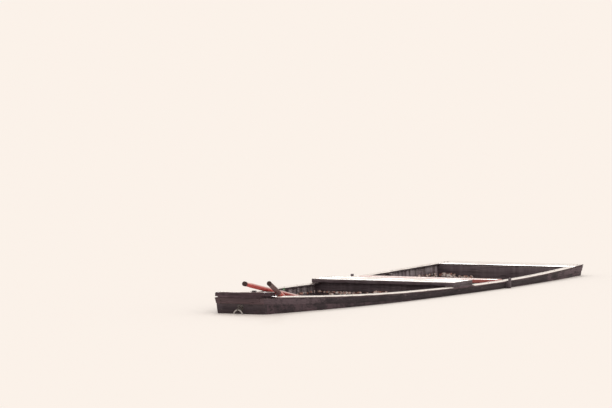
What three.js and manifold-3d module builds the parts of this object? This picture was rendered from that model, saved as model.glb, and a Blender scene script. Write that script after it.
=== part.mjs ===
// Flat-bottomed wooden rowing punt, tarred, with its rowing platform, aft thwart, mooring ring and oars.
import * as THREE from 'three';
import { mergeVertices } from 'three/addons/utils/BufferGeometryUtils.js';
import Module from 'manifold-3d';

const wasm = await Module();
wasm.setup();

// Sizes in mm. x runs forward from amidships, y to port, z up from the flat of the bottom.
const HULL_LENGTH = 6000;
const STATION_STEP = 250;
const FLARE = 0.09;
const GAP = 0.3;
const FITTING_GAP = 0.8;
const BOTTOM_THICK = 28;
const BOTTOM_ROWS = 4;
const STRAKE_THICK = 30;
const STRAKE_SEAM = 0.52;
const WALE = { thick: 8, lip: 3, depth: 46, drop: 2 };
const CAP = { width: 64, thick: 14 };
const TRANSOM_THICK = 30;

// Both ends of the hull: the top of the transom, the way inboard, its rake, and the seam of its boards.
const BOW = { x: HULL_LENGTH / 2, inboard: -1, rake: 0.25, seam: 366 };
const STERN = { x: -HULL_LENGTH / 2, inboard: 1, rake: 0.12, seam: 250 };

// Flat middle of the bottom, and the rise of its rocker at both ends.
const ROCKER = { flatFore: 900, flatAft: -1000, bowRise: 108, sternRise: 62 };

// Plan and sheer: x, half breadth over the wale, height of the rim.
const SHEER = [
  { x: -3000, half: 668, rim: 388 },
  { x: -2500, half: 700, rim: 375 },
  { x: -2000, half: 722, rim: 365 },
  { x: -1500, half: 733, rim: 357 },
  { x: -1000, half: 730, rim: 352 },
  { x: -500, half: 717, rim: 350 },
  { x: 0, half: 691, rim: 352 },
  { x: 500, half: 663, rim: 357 },
  { x: 1000, half: 623, rim: 363 },
  { x: 1500, half: 559, rim: 373 },
  { x: 2000, half: 472, rim: 388 },
  { x: 2500, half: 360, rim: 408 },
  { x: 3000, half: 224, rim: 433 },
];

const BOW_BOARD = { aft: 2860, overhang: 6, inset: 6, above: 29, rise: 10, notchWide: 24, notchHigh: 8 };
const STERN_DECK = { fore: -2700, overhang: 8 };
const DECK_BEAM = { width: 45, depth: 125 };
const CORNER_POST = 45;

// Floor frames: where they are, which carry knees, and which cover the butts of the bottom planks.
const FRAMES = [
  { x: 2250, knees: true, butt: false },
  { x: 1590, knees: false, butt: false },
  { x: 930, knees: true, butt: true },
  { x: -1000, knees: true, butt: true },
  { x: -1650, knees: true, butt: false },
  { x: -2300, knees: false, butt: false },
];
const OAR_REST = FRAMES[2].x;
const FRAME = { width: 45, depth: 90 };
const KNEE = { top: 44, middle: 50, foot: 76, bend: 75 };

const PLATFORM = { fore: 94, boards: 3, boardWidth: 137, boardGap: 3, top: 398, thick: 34 };
const PLATFORM_END = { port: 684, starboard: 656 };
const BEARER = { inner: 92, inset: 3 };
const BULKHEAD = { fore: 46, thick: 26, seam: 190 };
const ROWLOCK_POST = { x: -1006, width: 32, thick: 33, head: 18, above: 22, foot: 150 };

// Mooring eye and ring: the eye's loop stands out of a plate on the bow transom, and the ring hangs in it.
const EYE = { z: 338, loop: 14, wire: 4, plate: 50, plateThick: 5, reach: 48, shank: 5 };
const RING = { radius: 38, wire: 5, slack: 0.6 };

// Oars: each lies along a line in plan, from a point near the bow to the end of its blade.
const OAR = { length: 2840, loom: 19.5, grip: 17.5, gripLength: 130 };
const BLADE = { length: 700, half: 90, thick: 8 };
const PORT_OAR = { near: [2725, 241], end: [880, -374] };
const STARBOARD_OAR = { near: [2862, 152], end: [512, -30] };

// Thwart at the rowlocks, on the heads of the knees of the frame below it.
const THWART = { fore: -900, aft: -1040, top: 363, thick: 32, frame: 3 };

const TAR = { color: 0x3d3433, roughness: 0.75 };
const WORN = { color: 0x8a7f78, roughness: 0.8 };
const RED = { color: 0x8f2f24, roughness: 0.6 };
const IRON = { color: 0x8c8b89, roughness: 0.5, metalness: 0.7 };

// Smooth curve through one column of the sheer table, in Hermite pieces.
function curveThrough(column) {
  const slope = (row) => {
    const before = SHEER[Math.max(row - 1, 0)];
    const after = SHEER[Math.min(row + 1, SHEER.length - 1)];
    return (after[column] - before[column]) / (after.x - before.x);
  };
  return (x) => {
    const next = THREE.MathUtils.clamp(SHEER.findIndex((row) => row.x >= x), 1, SHEER.length - 1);
    const start = SHEER[next - 1];
    const end = SHEER[next];
    const span = end.x - start.x;
    const t = (x - start.x) / span;
    const rise = end[column] - start[column];
    const bendStart = slope(next - 1) * span - rise;
    const bendEnd = rise - slope(next) * span;
    return start[column] + t * rise + t * (1 - t) * ((1 - t) * bendStart + t * bendEnd);
  };
}

function rocker(x) {
  const fore = Math.max(0, (x - ROCKER.flatFore) / (BOW.x - ROCKER.flatFore));
  const aft = Math.max(0, (x - ROCKER.flatAft) / (STERN.x - ROCKER.flatAft));
  return ROCKER.bowRise * fore ** 2 + ROCKER.sternRise * aft ** 2;
}

// Stations along the hull. Between them every plank is flat, and what lies on a plank follows the same lines.
const STATIONS = [];
for (let x = STERN.x; x <= BOW.x; x += STATION_STEP) {
  STATIONS.push(x);
}

function onStations(curve) {
  const values = STATIONS.map(curve);
  return (x) => {
    const span = THREE.MathUtils.clamp(Math.floor((x - STERN.x) / STATION_STEP), 0, STATIONS.length - 2);
    return THREE.MathUtils.lerp(values[span], values[span + 1], (x - STATIONS[span]) / STATION_STEP);
  };
}

const rimHalf = onStations(curveThrough('half'));
const rimTop = onStations(curveThrough('rim'));
const bottomUnder = onStations(rocker);

const bottomTop = (x) => bottomUnder(x) + BOTTOM_THICK;
const strakeFoot = (x) => bottomTop(x) + GAP;
const strakeTop = (x) => rimTop(x) - CAP.thick;
const strakeSeam = (x) => THREE.MathUtils.lerp(strakeFoot(x), strakeTop(x), STRAKE_SEAM);
const strakeOuter = (x, z) => rimHalf(x) - WALE.thick - FLARE * (rimTop(x) - z);
const strakeInner = (x, z) => strakeOuter(x, z) - STRAKE_THICK;
const capInner = (x) => rimHalf(x) - CAP.width;
const level = (z) => () => z;

// Places along the hull: a plain x, or a raked plane parallel to a transom, solved for the height it meets.
const at = (x) => () => x;

function rakedAt(end, inset) {
  return (height) => {
    let x = end.x;
    for (let pass = 0; pass < 4; pass += 1) {
      x = end.x + end.inboard * (inset + end.rake * (rimTop(end.x) - height(x)));
    }
    return x;
  };
}

function between(from, to) {
  return STATIONS.filter((x) => x > from && x < to).map(at);
}

const betweenEnds = between(STERN.x + 100, BOW.x - 100);
const alongHull = (inset) => [rakedAt(STERN, inset), ...betweenEnds, rakedAt(BOW, inset)];
const alongStretch = (from, to) => [at(from), ...between(from, to), at(to)];

// Closed body from points and faces, turned if it comes out inside out.
function closedBody(points, faces) {
  let volume = 0;
  for (const [a, b, c] of faces) {
    volume += points[a].dot(new THREE.Vector3().crossVectors(points[b], points[c]));
  }
  const order = volume > 0 ? [0, 1, 2] : [0, 2, 1];
  const geometry = new THREE.BufferGeometry();
  geometry.setAttribute('position', new THREE.Float32BufferAttribute(points.flatMap((p) => p.toArray()), 3));
  geometry.setIndex(faces.flatMap((face) => order.map((corner) => face[corner])));
  return geometry;
}

// Body through sections that run along the boat and have the same number of corners, closed at both ends.
function loft(sections) {
  const corners = sections[0].length;
  const faces = [];
  for (let section = 0; section < sections.length - 1; section += 1) {
    for (let corner = 0; corner < corners; corner += 1) {
      const here = section * corners + corner;
      const beside = section * corners + ((corner + 1) % corners);
      faces.push([here, beside, here + corners], [beside, beside + corners, here + corners]);
    }
  }
  const last = (sections.length - 1) * corners;
  const outline = sections[0].map((p) => new THREE.Vector2(p.y, p.z));
  const turned = THREE.ShapeUtils.isClockWise(outline);
  for (const [a, b, c] of THREE.ShapeUtils.triangulateShape(outline, [])) {
    const [second, third] = turned ? [c, b] : [b, c];
    faces.push([a, third, second], [last + a, last + second, last + third]);
  }
  return closedBody(sections.flat(), faces);
}

// Body whose corners follow the hull: each gives its height at x, and its breadth at x and that height.
function lengthwise(corners, places) {
  const sections = places.map((place) =>
    corners.map(([breadth, height]) => {
      const x = place(height);
      const z = height(x);
      return new THREE.Vector3(x, breadth(x, z), z);
    }),
  );
  return loft(sections);
}

const mirrored = (corners) => corners.map(([breadth, height]) => [(x, z) => -breadth(x, z), height]);
const onSide = (side, corners) => (side === 'port' ? corners : mirrored(corners));
const inBy = (breadth, inset) => (x, z) => breadth(x, z) - inset;
const plus = (height, rise) => (x) => height(x) + rise;

const waleTop = plus(strakeTop, -WALE.drop);
const waleFoot = plus(waleTop, -WALE.depth);

// Straight across the boat from side to side, with the same outline to port and starboard.
const across = (corners) => [...corners, ...mirrored(corners).reverse()];

function block(from, to) {
  const size = new THREE.Vector3(...to).sub(new THREE.Vector3(...from));
  const middle = new THREE.Vector3(...to).add(new THREE.Vector3(...from)).multiplyScalar(0.5);
  return new THREE.BoxGeometry(size.x, size.y, size.z).translate(middle.x, middle.y, middle.z);
}

function toSolid(geometry) {
  const plain = geometry.clone();
  plain.deleteAttribute('normal');
  plain.deleteAttribute('uv');
  const merged = mergeVertices(plain, 1e-3);
  const vertProperties = Float32Array.from(merged.attributes.position.array);
  const triVerts = Uint32Array.from(merged.index.array);
  return new wasm.Manifold(new wasm.Mesh({ numProp: 3, vertProperties, triVerts }));
}

function joined(geometries) {
  const solid = geometries.map(toSolid).reduce((whole, piece) => whole.add(piece));
  const mesh = solid.getMesh();
  const geometry = new THREE.BufferGeometry();
  geometry.setAttribute('position', new THREE.BufferAttribute(Float32Array.from(mesh.vertProperties), 3));
  geometry.setIndex(new THREE.BufferAttribute(Uint32Array.from(mesh.triVerts), 1));
  return geometry;
}

const boat = new THREE.Group();
const sides = ['port', 'starboard'];

function add(name, geometry, look) {
  const mesh = new THREE.Mesh(geometry, new THREE.MeshStandardMaterial(look));
  mesh.name = name;
  boat.add(mesh);
  return mesh;
}

// Bottom: rows of planks that narrow together towards both ends, each row butted under two floor timbers.
const [foreButt, aftButt] = FRAMES.filter((frame) => frame.butt).map((frame) => frame.x);
const BOTTOM_STRETCHES = [
  { name: 'fore', places: [at(foreButt + GAP / 2), ...between(foreButt, BOW.x - 100), rakedAt(BOW, 0)] },
  { name: 'middle', places: alongStretch(aftButt + GAP / 2, foreButt - GAP / 2) },
  { name: 'aft', places: [rakedAt(STERN, 0), ...between(STERN.x + 100, aftButt), at(aftButt - GAP / 2)] },
];
for (const { name, places } of BOTTOM_STRETCHES) {
  for (let row = 0; row < BOTTOM_ROWS; row += 1) {
    const lowShare = (2 * row) / BOTTOM_ROWS - 1;
    const highShare = (2 * (row + 1)) / BOTTOM_ROWS - 1;
    const low = (x) => lowShare * strakeOuter(x, bottomTop(x)) + (row > 0 ? GAP / 2 : 0);
    const high = (x) => highShare * strakeOuter(x, bottomTop(x)) - (row < BOTTOM_ROWS - 1 ? GAP / 2 : 0);
    const corners = [
      [low, bottomUnder],
      [high, bottomUnder],
      [high, bottomTop],
      [low, bottomTop],
    ];
    add(`bottom_${name}_${row + 1}`, lengthwise(corners, places), TAR);
  }
}

// Sides: two strakes, the wale outside and the cap on top.
for (const side of sides) {
  const strakeEnds = alongHull(TRANSOM_THICK + GAP);
  const lower = [
    [strakeInner, strakeFoot],
    [strakeOuter, strakeFoot],
    [strakeOuter, strakeSeam],
    [strakeInner, strakeSeam],
  ];
  const upper = [
    [strakeInner, plus(strakeSeam, GAP)],
    [strakeOuter, plus(strakeSeam, GAP)],
    [strakeOuter, plus(strakeTop, -GAP)],
    [strakeInner, plus(strakeTop, -GAP)],
  ];
  add(`strake_lower_${side}`, lengthwise(onSide(side, lower), strakeEnds), TAR);
  add(`strake_upper_${side}`, lengthwise(onSide(side, upper), strakeEnds), TAR);

  const wale = [
    [inBy(strakeOuter, -GAP), waleFoot],
    [inBy(strakeOuter, -WALE.lip), waleFoot],
    [rimHalf, waleTop],
    [inBy(strakeOuter, -GAP), waleTop],
  ];
  add(`wale_${side}`, lengthwise(onSide(side, wale), alongHull(0)), TAR);

  const cap = [
    [capInner, strakeTop],
    [rimHalf, strakeTop],
    [rimHalf, rimTop],
    [capInner, rimTop],
  ];
  const capStretch = alongStretch(STERN_DECK.fore + GAP, BOW_BOARD.aft - GAP);
  add(`rim_cap_${side}`, lengthwise(onSide(side, cap), capStretch), WORN);
}

// Transoms: two boards over the ends of the strakes, at each end of the hull.
for (const [name, end] of [['bow', BOW], ['stern', STERN]]) {
  const faces = [rakedAt(end, TRANSOM_THICK), rakedAt(end, 0)];
  const seam = level(end.seam);
  const lower = across([[strakeOuter, strakeFoot], [strakeOuter, seam]]);
  const upper = across([[strakeOuter, plus(seam, GAP)], [strakeOuter, plus(strakeTop, -GAP)]]);
  add(`${name}_transom_lower`, lengthwise(lower, faces), TAR);
  add(`${name}_transom_upper`, lengthwise(upper, faces), TAR);

  for (const side of sides) {
    const outer = inBy(strakeInner, GAP);
    const inner = inBy(strakeInner, CORNER_POST);
    const post = [
      [inner, plus(bottomTop, GAP)],
      [outer, plus(bottomTop, GAP)],
      [outer, plus(strakeTop, -GAP)],
      [inner, plus(strakeTop, -GAP)],
    ];
    const inset = TRANSOM_THICK + GAP;
    const places = [rakedAt(end, inset + CORNER_POST), rakedAt(end, inset)];
    add(`${name}_corner_post_${side}`, lengthwise(onSide(side, post), places), TAR);
  }
}

// Boards that close the top at both ends. The bow's is notched at its own ends, and thicker to port.
const bowBoardEdge = inBy(rimHalf, BOW_BOARD.inset);
const bowBoardSeat = inBy(bowBoardEdge, BOW_BOARD.notchWide);
const bowBoardEnd = (rise) => [
  [bowBoardSeat, strakeTop],
  [bowBoardSeat, plus(strakeTop, BOW_BOARD.notchHigh + rise)],
  [bowBoardEdge, plus(strakeTop, BOW_BOARD.notchHigh + rise)],
  [bowBoardEdge, plus(rimTop, BOW_BOARD.above + rise)],
];
const bowBoard = [...bowBoardEnd(BOW_BOARD.rise), ...mirrored(bowBoardEnd(0)).reverse()];
add('bow_cross_board', lengthwise(bowBoard, [at(BOW_BOARD.aft), at(BOW.x + BOW_BOARD.overhang)]), WORN);

const sternDeck = across([[rimHalf, strakeTop], [rimHalf, rimTop]]);
add('stern_deck', lengthwise(sternDeck, [at(STERN.x - STERN_DECK.overhang), at(STERN_DECK.fore)]), WORN);

const beamFoot = plus(strakeTop, -DECK_BEAM.depth);
const beamEnd = inBy(strakeInner, GAP);
const deckBeam = across([[beamEnd, beamFoot], [beamEnd, plus(strakeTop, -GAP)]]);
const beamPlaces = alongStretch(STERN_DECK.fore - DECK_BEAM.width, STERN_DECK.fore);
add('stern_deck_beam', lengthwise(deckBeam, beamPlaces), TAR);

// Frames: a floor timber from side to side, and on some of them a knee at each end.
const thwartUnder = THWART.top - THWART.thick;
FRAMES.forEach((frame, index) => {
  const stretch = alongStretch(frame.x - FRAME.width / 2, frame.x + FRAME.width / 2);
  const floorEnd = inBy(strakeInner, GAP);
  const floorTop = plus(bottomTop, FRAME.depth);
  const floor = across([[floorEnd, plus(bottomTop, GAP)], [floorEnd, floorTop]]);
  add(`floor_timber_${index + 1}`, lengthwise(floor, stretch), TAR);

  if (!frame.knees) {
    return;
  }
  const kneeFoot = plus(floorTop, GAP);
  const kneeHead = index === THWART.frame ? level(thwartUnder - GAP) : plus(strakeTop, -GAP);
  const knee = [
    [floorEnd, kneeFoot],
    [floorEnd, kneeHead],
    [inBy(floorEnd, KNEE.top), kneeHead],
    [inBy(floorEnd, KNEE.middle), plus(kneeFoot, KNEE.bend)],
    [inBy(floorEnd, KNEE.foot), kneeFoot],
  ];
  for (const side of sides) {
    add(`knee_${index + 1}_${side}`, lengthwise(onSide(side, knee), stretch), TAR);
  }
});

// Rowing platform: boards across the rims on two bearers, with the bulkhead under its front edge.
const platformUnder = PLATFORM.top - PLATFORM.thick;
const boardPitch = PLATFORM.boardWidth + PLATFORM.boardGap;
const platformAft = PLATFORM.fore - PLATFORM.boards * boardPitch + PLATFORM.boardGap;
for (let board = 0; board < PLATFORM.boards; board += 1) {
  const fore = PLATFORM.fore - board * boardPitch;
  const low = [fore - PLATFORM.boardWidth, -PLATFORM_END.starboard, platformUnder];
  add(`platform_board_${board + 1}`, block(low, [fore, PLATFORM_END.port, PLATFORM.top]), WORN);
}
for (const side of sides) {
  const bearerOuter = level(PLATFORM_END[side] - BEARER.inset);
  const bearer = [
    [inBy(rimHalf, BEARER.inner), plus(rimTop, GAP)],
    [bearerOuter, plus(rimTop, GAP)],
    [bearerOuter, level(platformUnder - GAP)],
    [inBy(rimHalf, BEARER.inner), level(platformUnder - GAP)],
  ];
  const stretch = alongStretch(platformAft, PLATFORM.fore);
  add(`platform_bearer_${side}`, lengthwise(onSide(side, bearer), stretch), TAR);
}
const bulkheadEdge = inBy(strakeInner, GAP);
const capEdge = inBy(capInner, GAP);
const throatEdge = inBy(rimHalf, BEARER.inner + GAP);
const bulkheadLower = across([[bulkheadEdge, plus(bottomTop, GAP)], [bulkheadEdge, level(BULKHEAD.seam)]]);
const bulkheadUpper = across([
  [bulkheadEdge, level(BULKHEAD.seam + GAP)],
  [bulkheadEdge, plus(strakeTop, -GAP)],
  [capEdge, plus(strakeTop, -GAP)],
  [capEdge, rimTop],
  [throatEdge, rimTop],
  [throatEdge, level(platformUnder - GAP)],
]);
const bulkheadPlaces = alongStretch(BULKHEAD.fore - BULKHEAD.thick, BULKHEAD.fore);
add('bulkhead_lower', lengthwise(bulkheadLower, bulkheadPlaces), TAR);
add('bulkhead_upper', lengthwise(bulkheadUpper, bulkheadPlaces), TAR);

// Rowlock posts: upright blocks outside the sides, notched over the wale, with thinner heads above the rim.
for (const side of sides) {
  const halfWidth = ROWLOCK_POST.width / 2;
  const stretch = alongStretch(ROWLOCK_POST.x - halfWidth, ROWLOCK_POST.x + halfWidth);
  const head = plus(rimTop, ROWLOCK_POST.above);
  const foot = level(ROWLOCK_POST.foot);
  const waleFace = inBy(strakeOuter, -WALE.lip - GAP);
  const post = [
    [inBy(rimHalf, -GAP), rimTop],
    [inBy(rimHalf, ROWLOCK_POST.head - ROWLOCK_POST.thick), rimTop],
    [inBy(rimHalf, ROWLOCK_POST.head - ROWLOCK_POST.thick), head],
    [inBy(rimHalf, -ROWLOCK_POST.thick), head],
    [inBy(rimHalf, -ROWLOCK_POST.thick), waleFoot],
    [inBy(strakeOuter, -ROWLOCK_POST.thick), foot],
    [inBy(strakeOuter, -GAP), foot],
    [inBy(strakeOuter, -GAP), plus(waleFoot, -GAP)],
    [waleFace, plus(waleFoot, -GAP)],
    [inBy(rimHalf, -GAP), waleTop],
  ];
  add(`rowlock_post_${side}`, lengthwise(onSide(side, post), stretch), TAR);
}

// Mooring eye on the bow transom, and the ring that hangs in it, free to swing about the line across the eye.
const faceX = BOW.x - BOW.rake * (rimTop(BOW.x) - EYE.z);
const rakeAngle = Math.atan(BOW.rake);
const plate = block([GAP, -EYE.plate / 2, -EYE.plate / 2], [EYE.plateThick, EYE.plate / 2, EYE.plate / 2]);
const shankEnd = EYE.plateThick + EYE.reach - EYE.loop;
const shank = new THREE.CylinderGeometry(EYE.shank, EYE.shank, shankEnd, 12)
  .rotateZ(Math.PI / 2)
  .translate(shankEnd / 2 + 1, 0, 0);
const loop = new THREE.TorusGeometry(EYE.loop, EYE.wire, 8, 20)
  .rotateX(Math.PI / 2)
  .translate(EYE.plateThick + EYE.reach, 0, 0);
const eye = joined([plate, shank, loop]);
eye.rotateY(rakeAngle).translate(faceX, 0, EYE.z);
add('mooring_eye', eye, IRON);

const eyeMiddle = new THREE.Vector3(EYE.plateThick + EYE.reach, 0, 0)
  .applyAxisAngle(new THREE.Vector3(0, 1, 0), rakeAngle)
  .add(new THREE.Vector3(faceX, 0, EYE.z));
const hinge = eyeMiddle.clone().add(new THREE.Vector3(0, 0, -(EYE.loop - EYE.wire - RING.wire - RING.slack)));
const ring = new THREE.TorusGeometry(RING.radius, RING.wire, 10, 28).rotateY(Math.PI / 2);
add('mooring_ring', ring, IRON).position.set(hinge.x, 0, hinge.z - RING.radius);

// Oar along its own x from the blade's end to the grip: distance, half breadth, half thickness.
const OAR_SECTIONS = [
  { x: 0, half: BLADE.half * 0.88, thick: BLADE.thick * 0.7 },
  { x: 25, half: BLADE.half, thick: BLADE.thick },
  { x: 0.62 * BLADE.length, half: BLADE.half * 0.92, thick: BLADE.thick },
  { x: 0.85 * BLADE.length, half: BLADE.half * 0.55, thick: BLADE.thick * 1.4 },
  { x: BLADE.length, half: OAR.loom * 1.1, thick: OAR.loom * 0.9 },
  { x: BLADE.length + 120, half: OAR.loom, thick: OAR.loom },
  { x: OAR.length - OAR.gripLength - 20, half: OAR.loom, thick: OAR.loom },
  { x: OAR.length - OAR.gripLength, half: OAR.grip, thick: OAR.grip },
  { x: OAR.length - 8, half: OAR.grip, thick: OAR.grip },
  { x: OAR.length, half: OAR.grip * 0.6, thick: OAR.grip * 0.6 },
];
const OAR_CORNERS = 12;

function oar(end, towards, flat) {
  const along = new THREE.Vector3().subVectors(towards, end).normalize();
  const sideways = new THREE.Vector3(0, 0, 1).cross(along).normalize();
  const upright = new THREE.Vector3().crossVectors(along, sideways);
  const [broad, thin] = flat ? [sideways, upright] : [upright, sideways];
  const sections = OAR_SECTIONS.map(({ x, half, thick }) => {
    const middle = end.clone().addScaledVector(along, x);
    return Array.from({ length: OAR_CORNERS }, (_, corner) => {
      const angle = (2 * Math.PI * corner) / OAR_CORNERS;
      return middle.clone()
        .addScaledVector(broad, half * Math.cos(angle))
        .addScaledVector(thin, thick * Math.sin(angle));
    });
  });
  return loft(sections);
}

// Half breadth of the blade at a distance from its end.
function bladeHalfAt(distance) {
  const next = OAR_SECTIONS.findIndex(({ x }) => x >= distance);
  const [before, after] = [OAR_SECTIONS[next - 1], OAR_SECTIONS[next]];
  return THREE.MathUtils.mapLinear(distance, before.x, after.x, before.half, after.half);
}

// Line in space above a line in plan, through two heights that its axis has at two places along the boat.
function heightLine([xA, zA], [xB, zB]) {
  return (x) => THREE.MathUtils.mapLinear(x, xA, xB, zA, zB);
}

function alongPlan({ near, end }) {
  return (x) => THREE.MathUtils.mapLinear(x, end[0], near[0], end[1], near[1]);
}

function laidOar(plan, axis, flat) {
  const [endX, endY] = plan.end;
  const [nearX, nearY] = plan.near;
  const end = new THREE.Vector3(endX, endY, axis(endX));
  return oar(end, new THREE.Vector3(nearX, nearY, axis(nearX)), flat);
}

// The port oar rests on the rim's inner edge, with its blade flat on a floor timber.
const timberAft = OAR_REST - FRAME.width / 2;
const timberTop = bottomTop(timberAft) + FRAME.depth;
const rimRest = rimTop(PORT_OAR.near[0]) + OAR.loom * 1.02 + FITTING_GAP;
const portAxis = heightLine([PORT_OAR.near[0], rimRest], [timberAft, timberTop + BLADE.thick + FITTING_GAP]);
add('oar_port', laidOar(PORT_OAR, portAxis, true), RED);

// The starboard oar lies over the port oar where they cross, with its blade's edge on the same timber.
const yawGap = (x) => alongPlan(PORT_OAR)(x) - alongPlan(STARBOARD_OAR)(x);
const crossing = THREE.MathUtils.mapLinear(0, yawGap(2000), yawGap(2800), 2000, 2800);
const loomRest = portAxis(crossing) + 2 * OAR.loom * 1.02 + GAP;
const edgeRest = timberTop + bladeHalfAt(timberAft - STARBOARD_OAR.end[0]) + FITTING_GAP;
const starboardAxis = heightLine([crossing, loomRest], [timberAft, edgeRest]);
add('oar_starboard', laidOar(STARBOARD_OAR, starboardAxis, false), RED);

// Aft thwart: one board between the rim caps.
const thwartEnd = inBy(capInner, FITTING_GAP);
const thwart = across([[thwartEnd, level(thwartUnder)], [thwartEnd, level(THWART.top)]]);
add('aft_thwart', lengthwise(thwart, alongStretch(THWART.aft, THWART.fore)), RED);

// Origin: the middle of the whole boat's plan, oars included, at the flat of the bottom.
const extent = new THREE.Box3().setFromObject(boat);
boat.position.x = -(extent.min.x + extent.max.x) / 2;
boat.position.y = -(extent.min.y + extent.max.y) / 2;

export default boat;
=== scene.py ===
"""Dresses a flat-bottomed rowing punt afloat: tarred planks, red oars, mooring iron and dead leaves."""
import logging
import math
import random
from collections.abc import Callable, Iterator, Mapping, Sequence
from contextlib import contextmanager
from dataclasses import dataclass, field, replace
from enum import Enum
from functools import partial

import bmesh
import bpy
import numpy as np
from mathutils import Matrix, Vector
from mathutils.bvhtree import BVHTree


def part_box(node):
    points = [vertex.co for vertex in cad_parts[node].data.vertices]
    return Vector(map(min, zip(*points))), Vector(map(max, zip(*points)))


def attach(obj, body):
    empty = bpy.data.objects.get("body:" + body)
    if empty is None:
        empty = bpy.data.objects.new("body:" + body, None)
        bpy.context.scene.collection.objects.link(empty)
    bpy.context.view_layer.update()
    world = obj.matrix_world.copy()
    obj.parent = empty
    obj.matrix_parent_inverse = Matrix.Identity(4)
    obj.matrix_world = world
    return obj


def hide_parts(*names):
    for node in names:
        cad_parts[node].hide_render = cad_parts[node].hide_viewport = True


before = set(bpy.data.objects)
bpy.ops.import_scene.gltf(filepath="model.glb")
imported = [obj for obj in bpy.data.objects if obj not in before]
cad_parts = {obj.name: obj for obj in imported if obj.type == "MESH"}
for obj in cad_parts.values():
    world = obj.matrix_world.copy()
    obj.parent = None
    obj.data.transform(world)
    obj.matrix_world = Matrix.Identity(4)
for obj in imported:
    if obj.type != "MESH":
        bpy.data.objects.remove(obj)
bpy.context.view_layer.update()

LOG = logging.getLogger("punt")
# In metres: the waterline over the flat of the bottom, and the cross board's fore edge from amidships.
WATERLINE = 0.285
BOW_BOARD_FRONT = 3.006
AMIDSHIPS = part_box("bow_cross_board")[1].x - BOW_BOARD_FRONT
DOWN = Vector((0, 0, -1))
# Places clear of the boat that lines are sent from, above it, off its sides and off its ends.
ABOVE = 1.0
OUTSIDE = 2.0
OFF_END = 5.0
SMOOTHLY = {"interpolation_type": "SMOOTHSTEP"}
# A Mix node takes colours at its inputs 6 and 7 and gives one at its output 2, and takes values at 2 and 3.
COLOURS = {"output": 2, "data_type": "RGBA"}
Socket = bpy.types.NodeSocket
Adder = Callable[..., Socket]
Inputs = Sequence[object] | Mapping[str | int, object]


class Body(Enum):
    """The bodies that pieces ride on."""

    HULL = "hull"
    RING = "ring"


class Slot(Enum):
    """The record's material slots."""

    TARRED = "tarred_wood"
    WORN = "worn_wood"
    RED = "red_painted_wood"
    IRON = "galvanised_iron"


class Element(Enum):
    """The kinds of mesh elements, with the lists that hold them."""

    VERT = "verts"
    EDGE = "edges"
    FACE = "faces"


class Option(Enum):
    """Options that stand in the nodes' names."""

    def __str__(self) -> str:
        """Gives the option as a node's name has it."""
        return self.name.lower()


class Side(Option):
    """The boat's sides, with the way to each along y."""

    PORT = 1
    STARBOARD = -1


class End(Option):
    """The boat's ends, with the way to each along x."""

    BOW = 1
    STERN = -1


class Level(Option):
    """The two boards of a side, an end or the bulkhead, one over the other."""

    LOWER = 0
    UPPER = 1


class Stretch(Option):
    """The stretches of the bottom, between its butts."""

    FORE = 0
    MIDDLE = 1
    AFT = 2


class Grain(Option):
    """The axis that the wood's fibres run along."""

    ALONG = 0
    ATHWART = 1
    UPRIGHT = 2

    def scale(self, across: float, along: float) -> tuple[float, float, float]:
        """Gives how many marks there are in a metre on each axis, from one mark's sizes in metres."""
        return tuple(1 / along if axis == self.value else 1 / across for axis in range(3))


def linear(colour: str) -> tuple[float, float, float, float]:
    """Turns an sRGB hex colour to linear red, green, blue and alpha.

    Args:
        colour: six hex digits after a hash.

    Returns:
        The four linear values.
    """
    parts = [int(colour[place:place + 2], 16) / 255 for place in (1, 3, 5)]
    return (*(p / 12.92 if p <= 0.04045 else ((p + 0.055) / 1.055) ** 2.4 for p in parts), 1.0)


def feed(tree: bpy.types.NodeTree, node: bpy.types.Node, inputs: Inputs) -> None:
    """Sets a node's inputs.

    Args:
        tree: the node's tree.
        node: the node.
        inputs: values, or outputs to link, in the inputs' order or by their names or numbers.
    """
    for key, value in inputs.items() if isinstance(inputs, Mapping) else enumerate(inputs):
        if isinstance(value, Socket):
            tree.links.new(value, node.inputs[key])
        else:
            node.inputs[key].default_value = value


def add_node(
    tree: bpy.types.NodeTree, kind: str, inputs: Inputs = (), output: int | str = 0, **settings: object
) -> Socket:
    """Adds a node with its settings and its links.

    Args:
        tree: the node tree that gets it.
        kind: the node's type without its ShaderNode prefix.
        inputs: values, or outputs to link, in the inputs' order or by their names or numbers.
        output: the name or number of the output that is wanted.
        settings: the node's own properties.

    Returns:
        The output.
    """
    node = tree.nodes.new("ShaderNode" + kind)
    for name, value in settings.items():
        setattr(node, name, value)
    feed(tree, node, inputs)
    return node.outputs[output]


def new_material(name: str) -> tuple[bpy.types.Material, Adder]:
    """Starts a node material.

    Args:
        name: the finish's name.

    Returns:
        The material, and the function that adds a node to it.
    """
    material = bpy.data.materials.new(name)
    material.use_nodes = True
    return material, partial(add_node, material.node_tree)


def shaded(material: bpy.types.Material, inputs: Inputs) -> bpy.types.Material:
    """Feeds a material's shader and gives the material back."""
    feed(material.node_tree, material.node_tree.nodes["Principled BSDF"], inputs)
    return material


def per_metre(size: float) -> float:
    """Gives how many marks of a size in metres a metre holds, to the nearest whole one."""
    return float(round(1 / size))


def marks(add: Adder, place: Socket, scale: Sequence[float], detail: float, twist: float = 0.0) -> Socket:
    """Draws soft marks, such as fibres, streaks or patches.

    Args:
        add: adds a node to the material.
        place: the place on the piece.
        scale: how many marks there are in a metre on each axis.
        detail: how fine their edges are.
        twist: how far they wander.

    Returns:
        The pattern, from 0 to 1.
    """
    spot = add("Mapping", {"Vector": place, "Scale": tuple(scale)})
    inputs = {"Vector": spot, "Scale": 1.0, "Detail": detail, "Roughness": 0.6, "Distortion": twist}
    return add("TexNoise", inputs)


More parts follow.
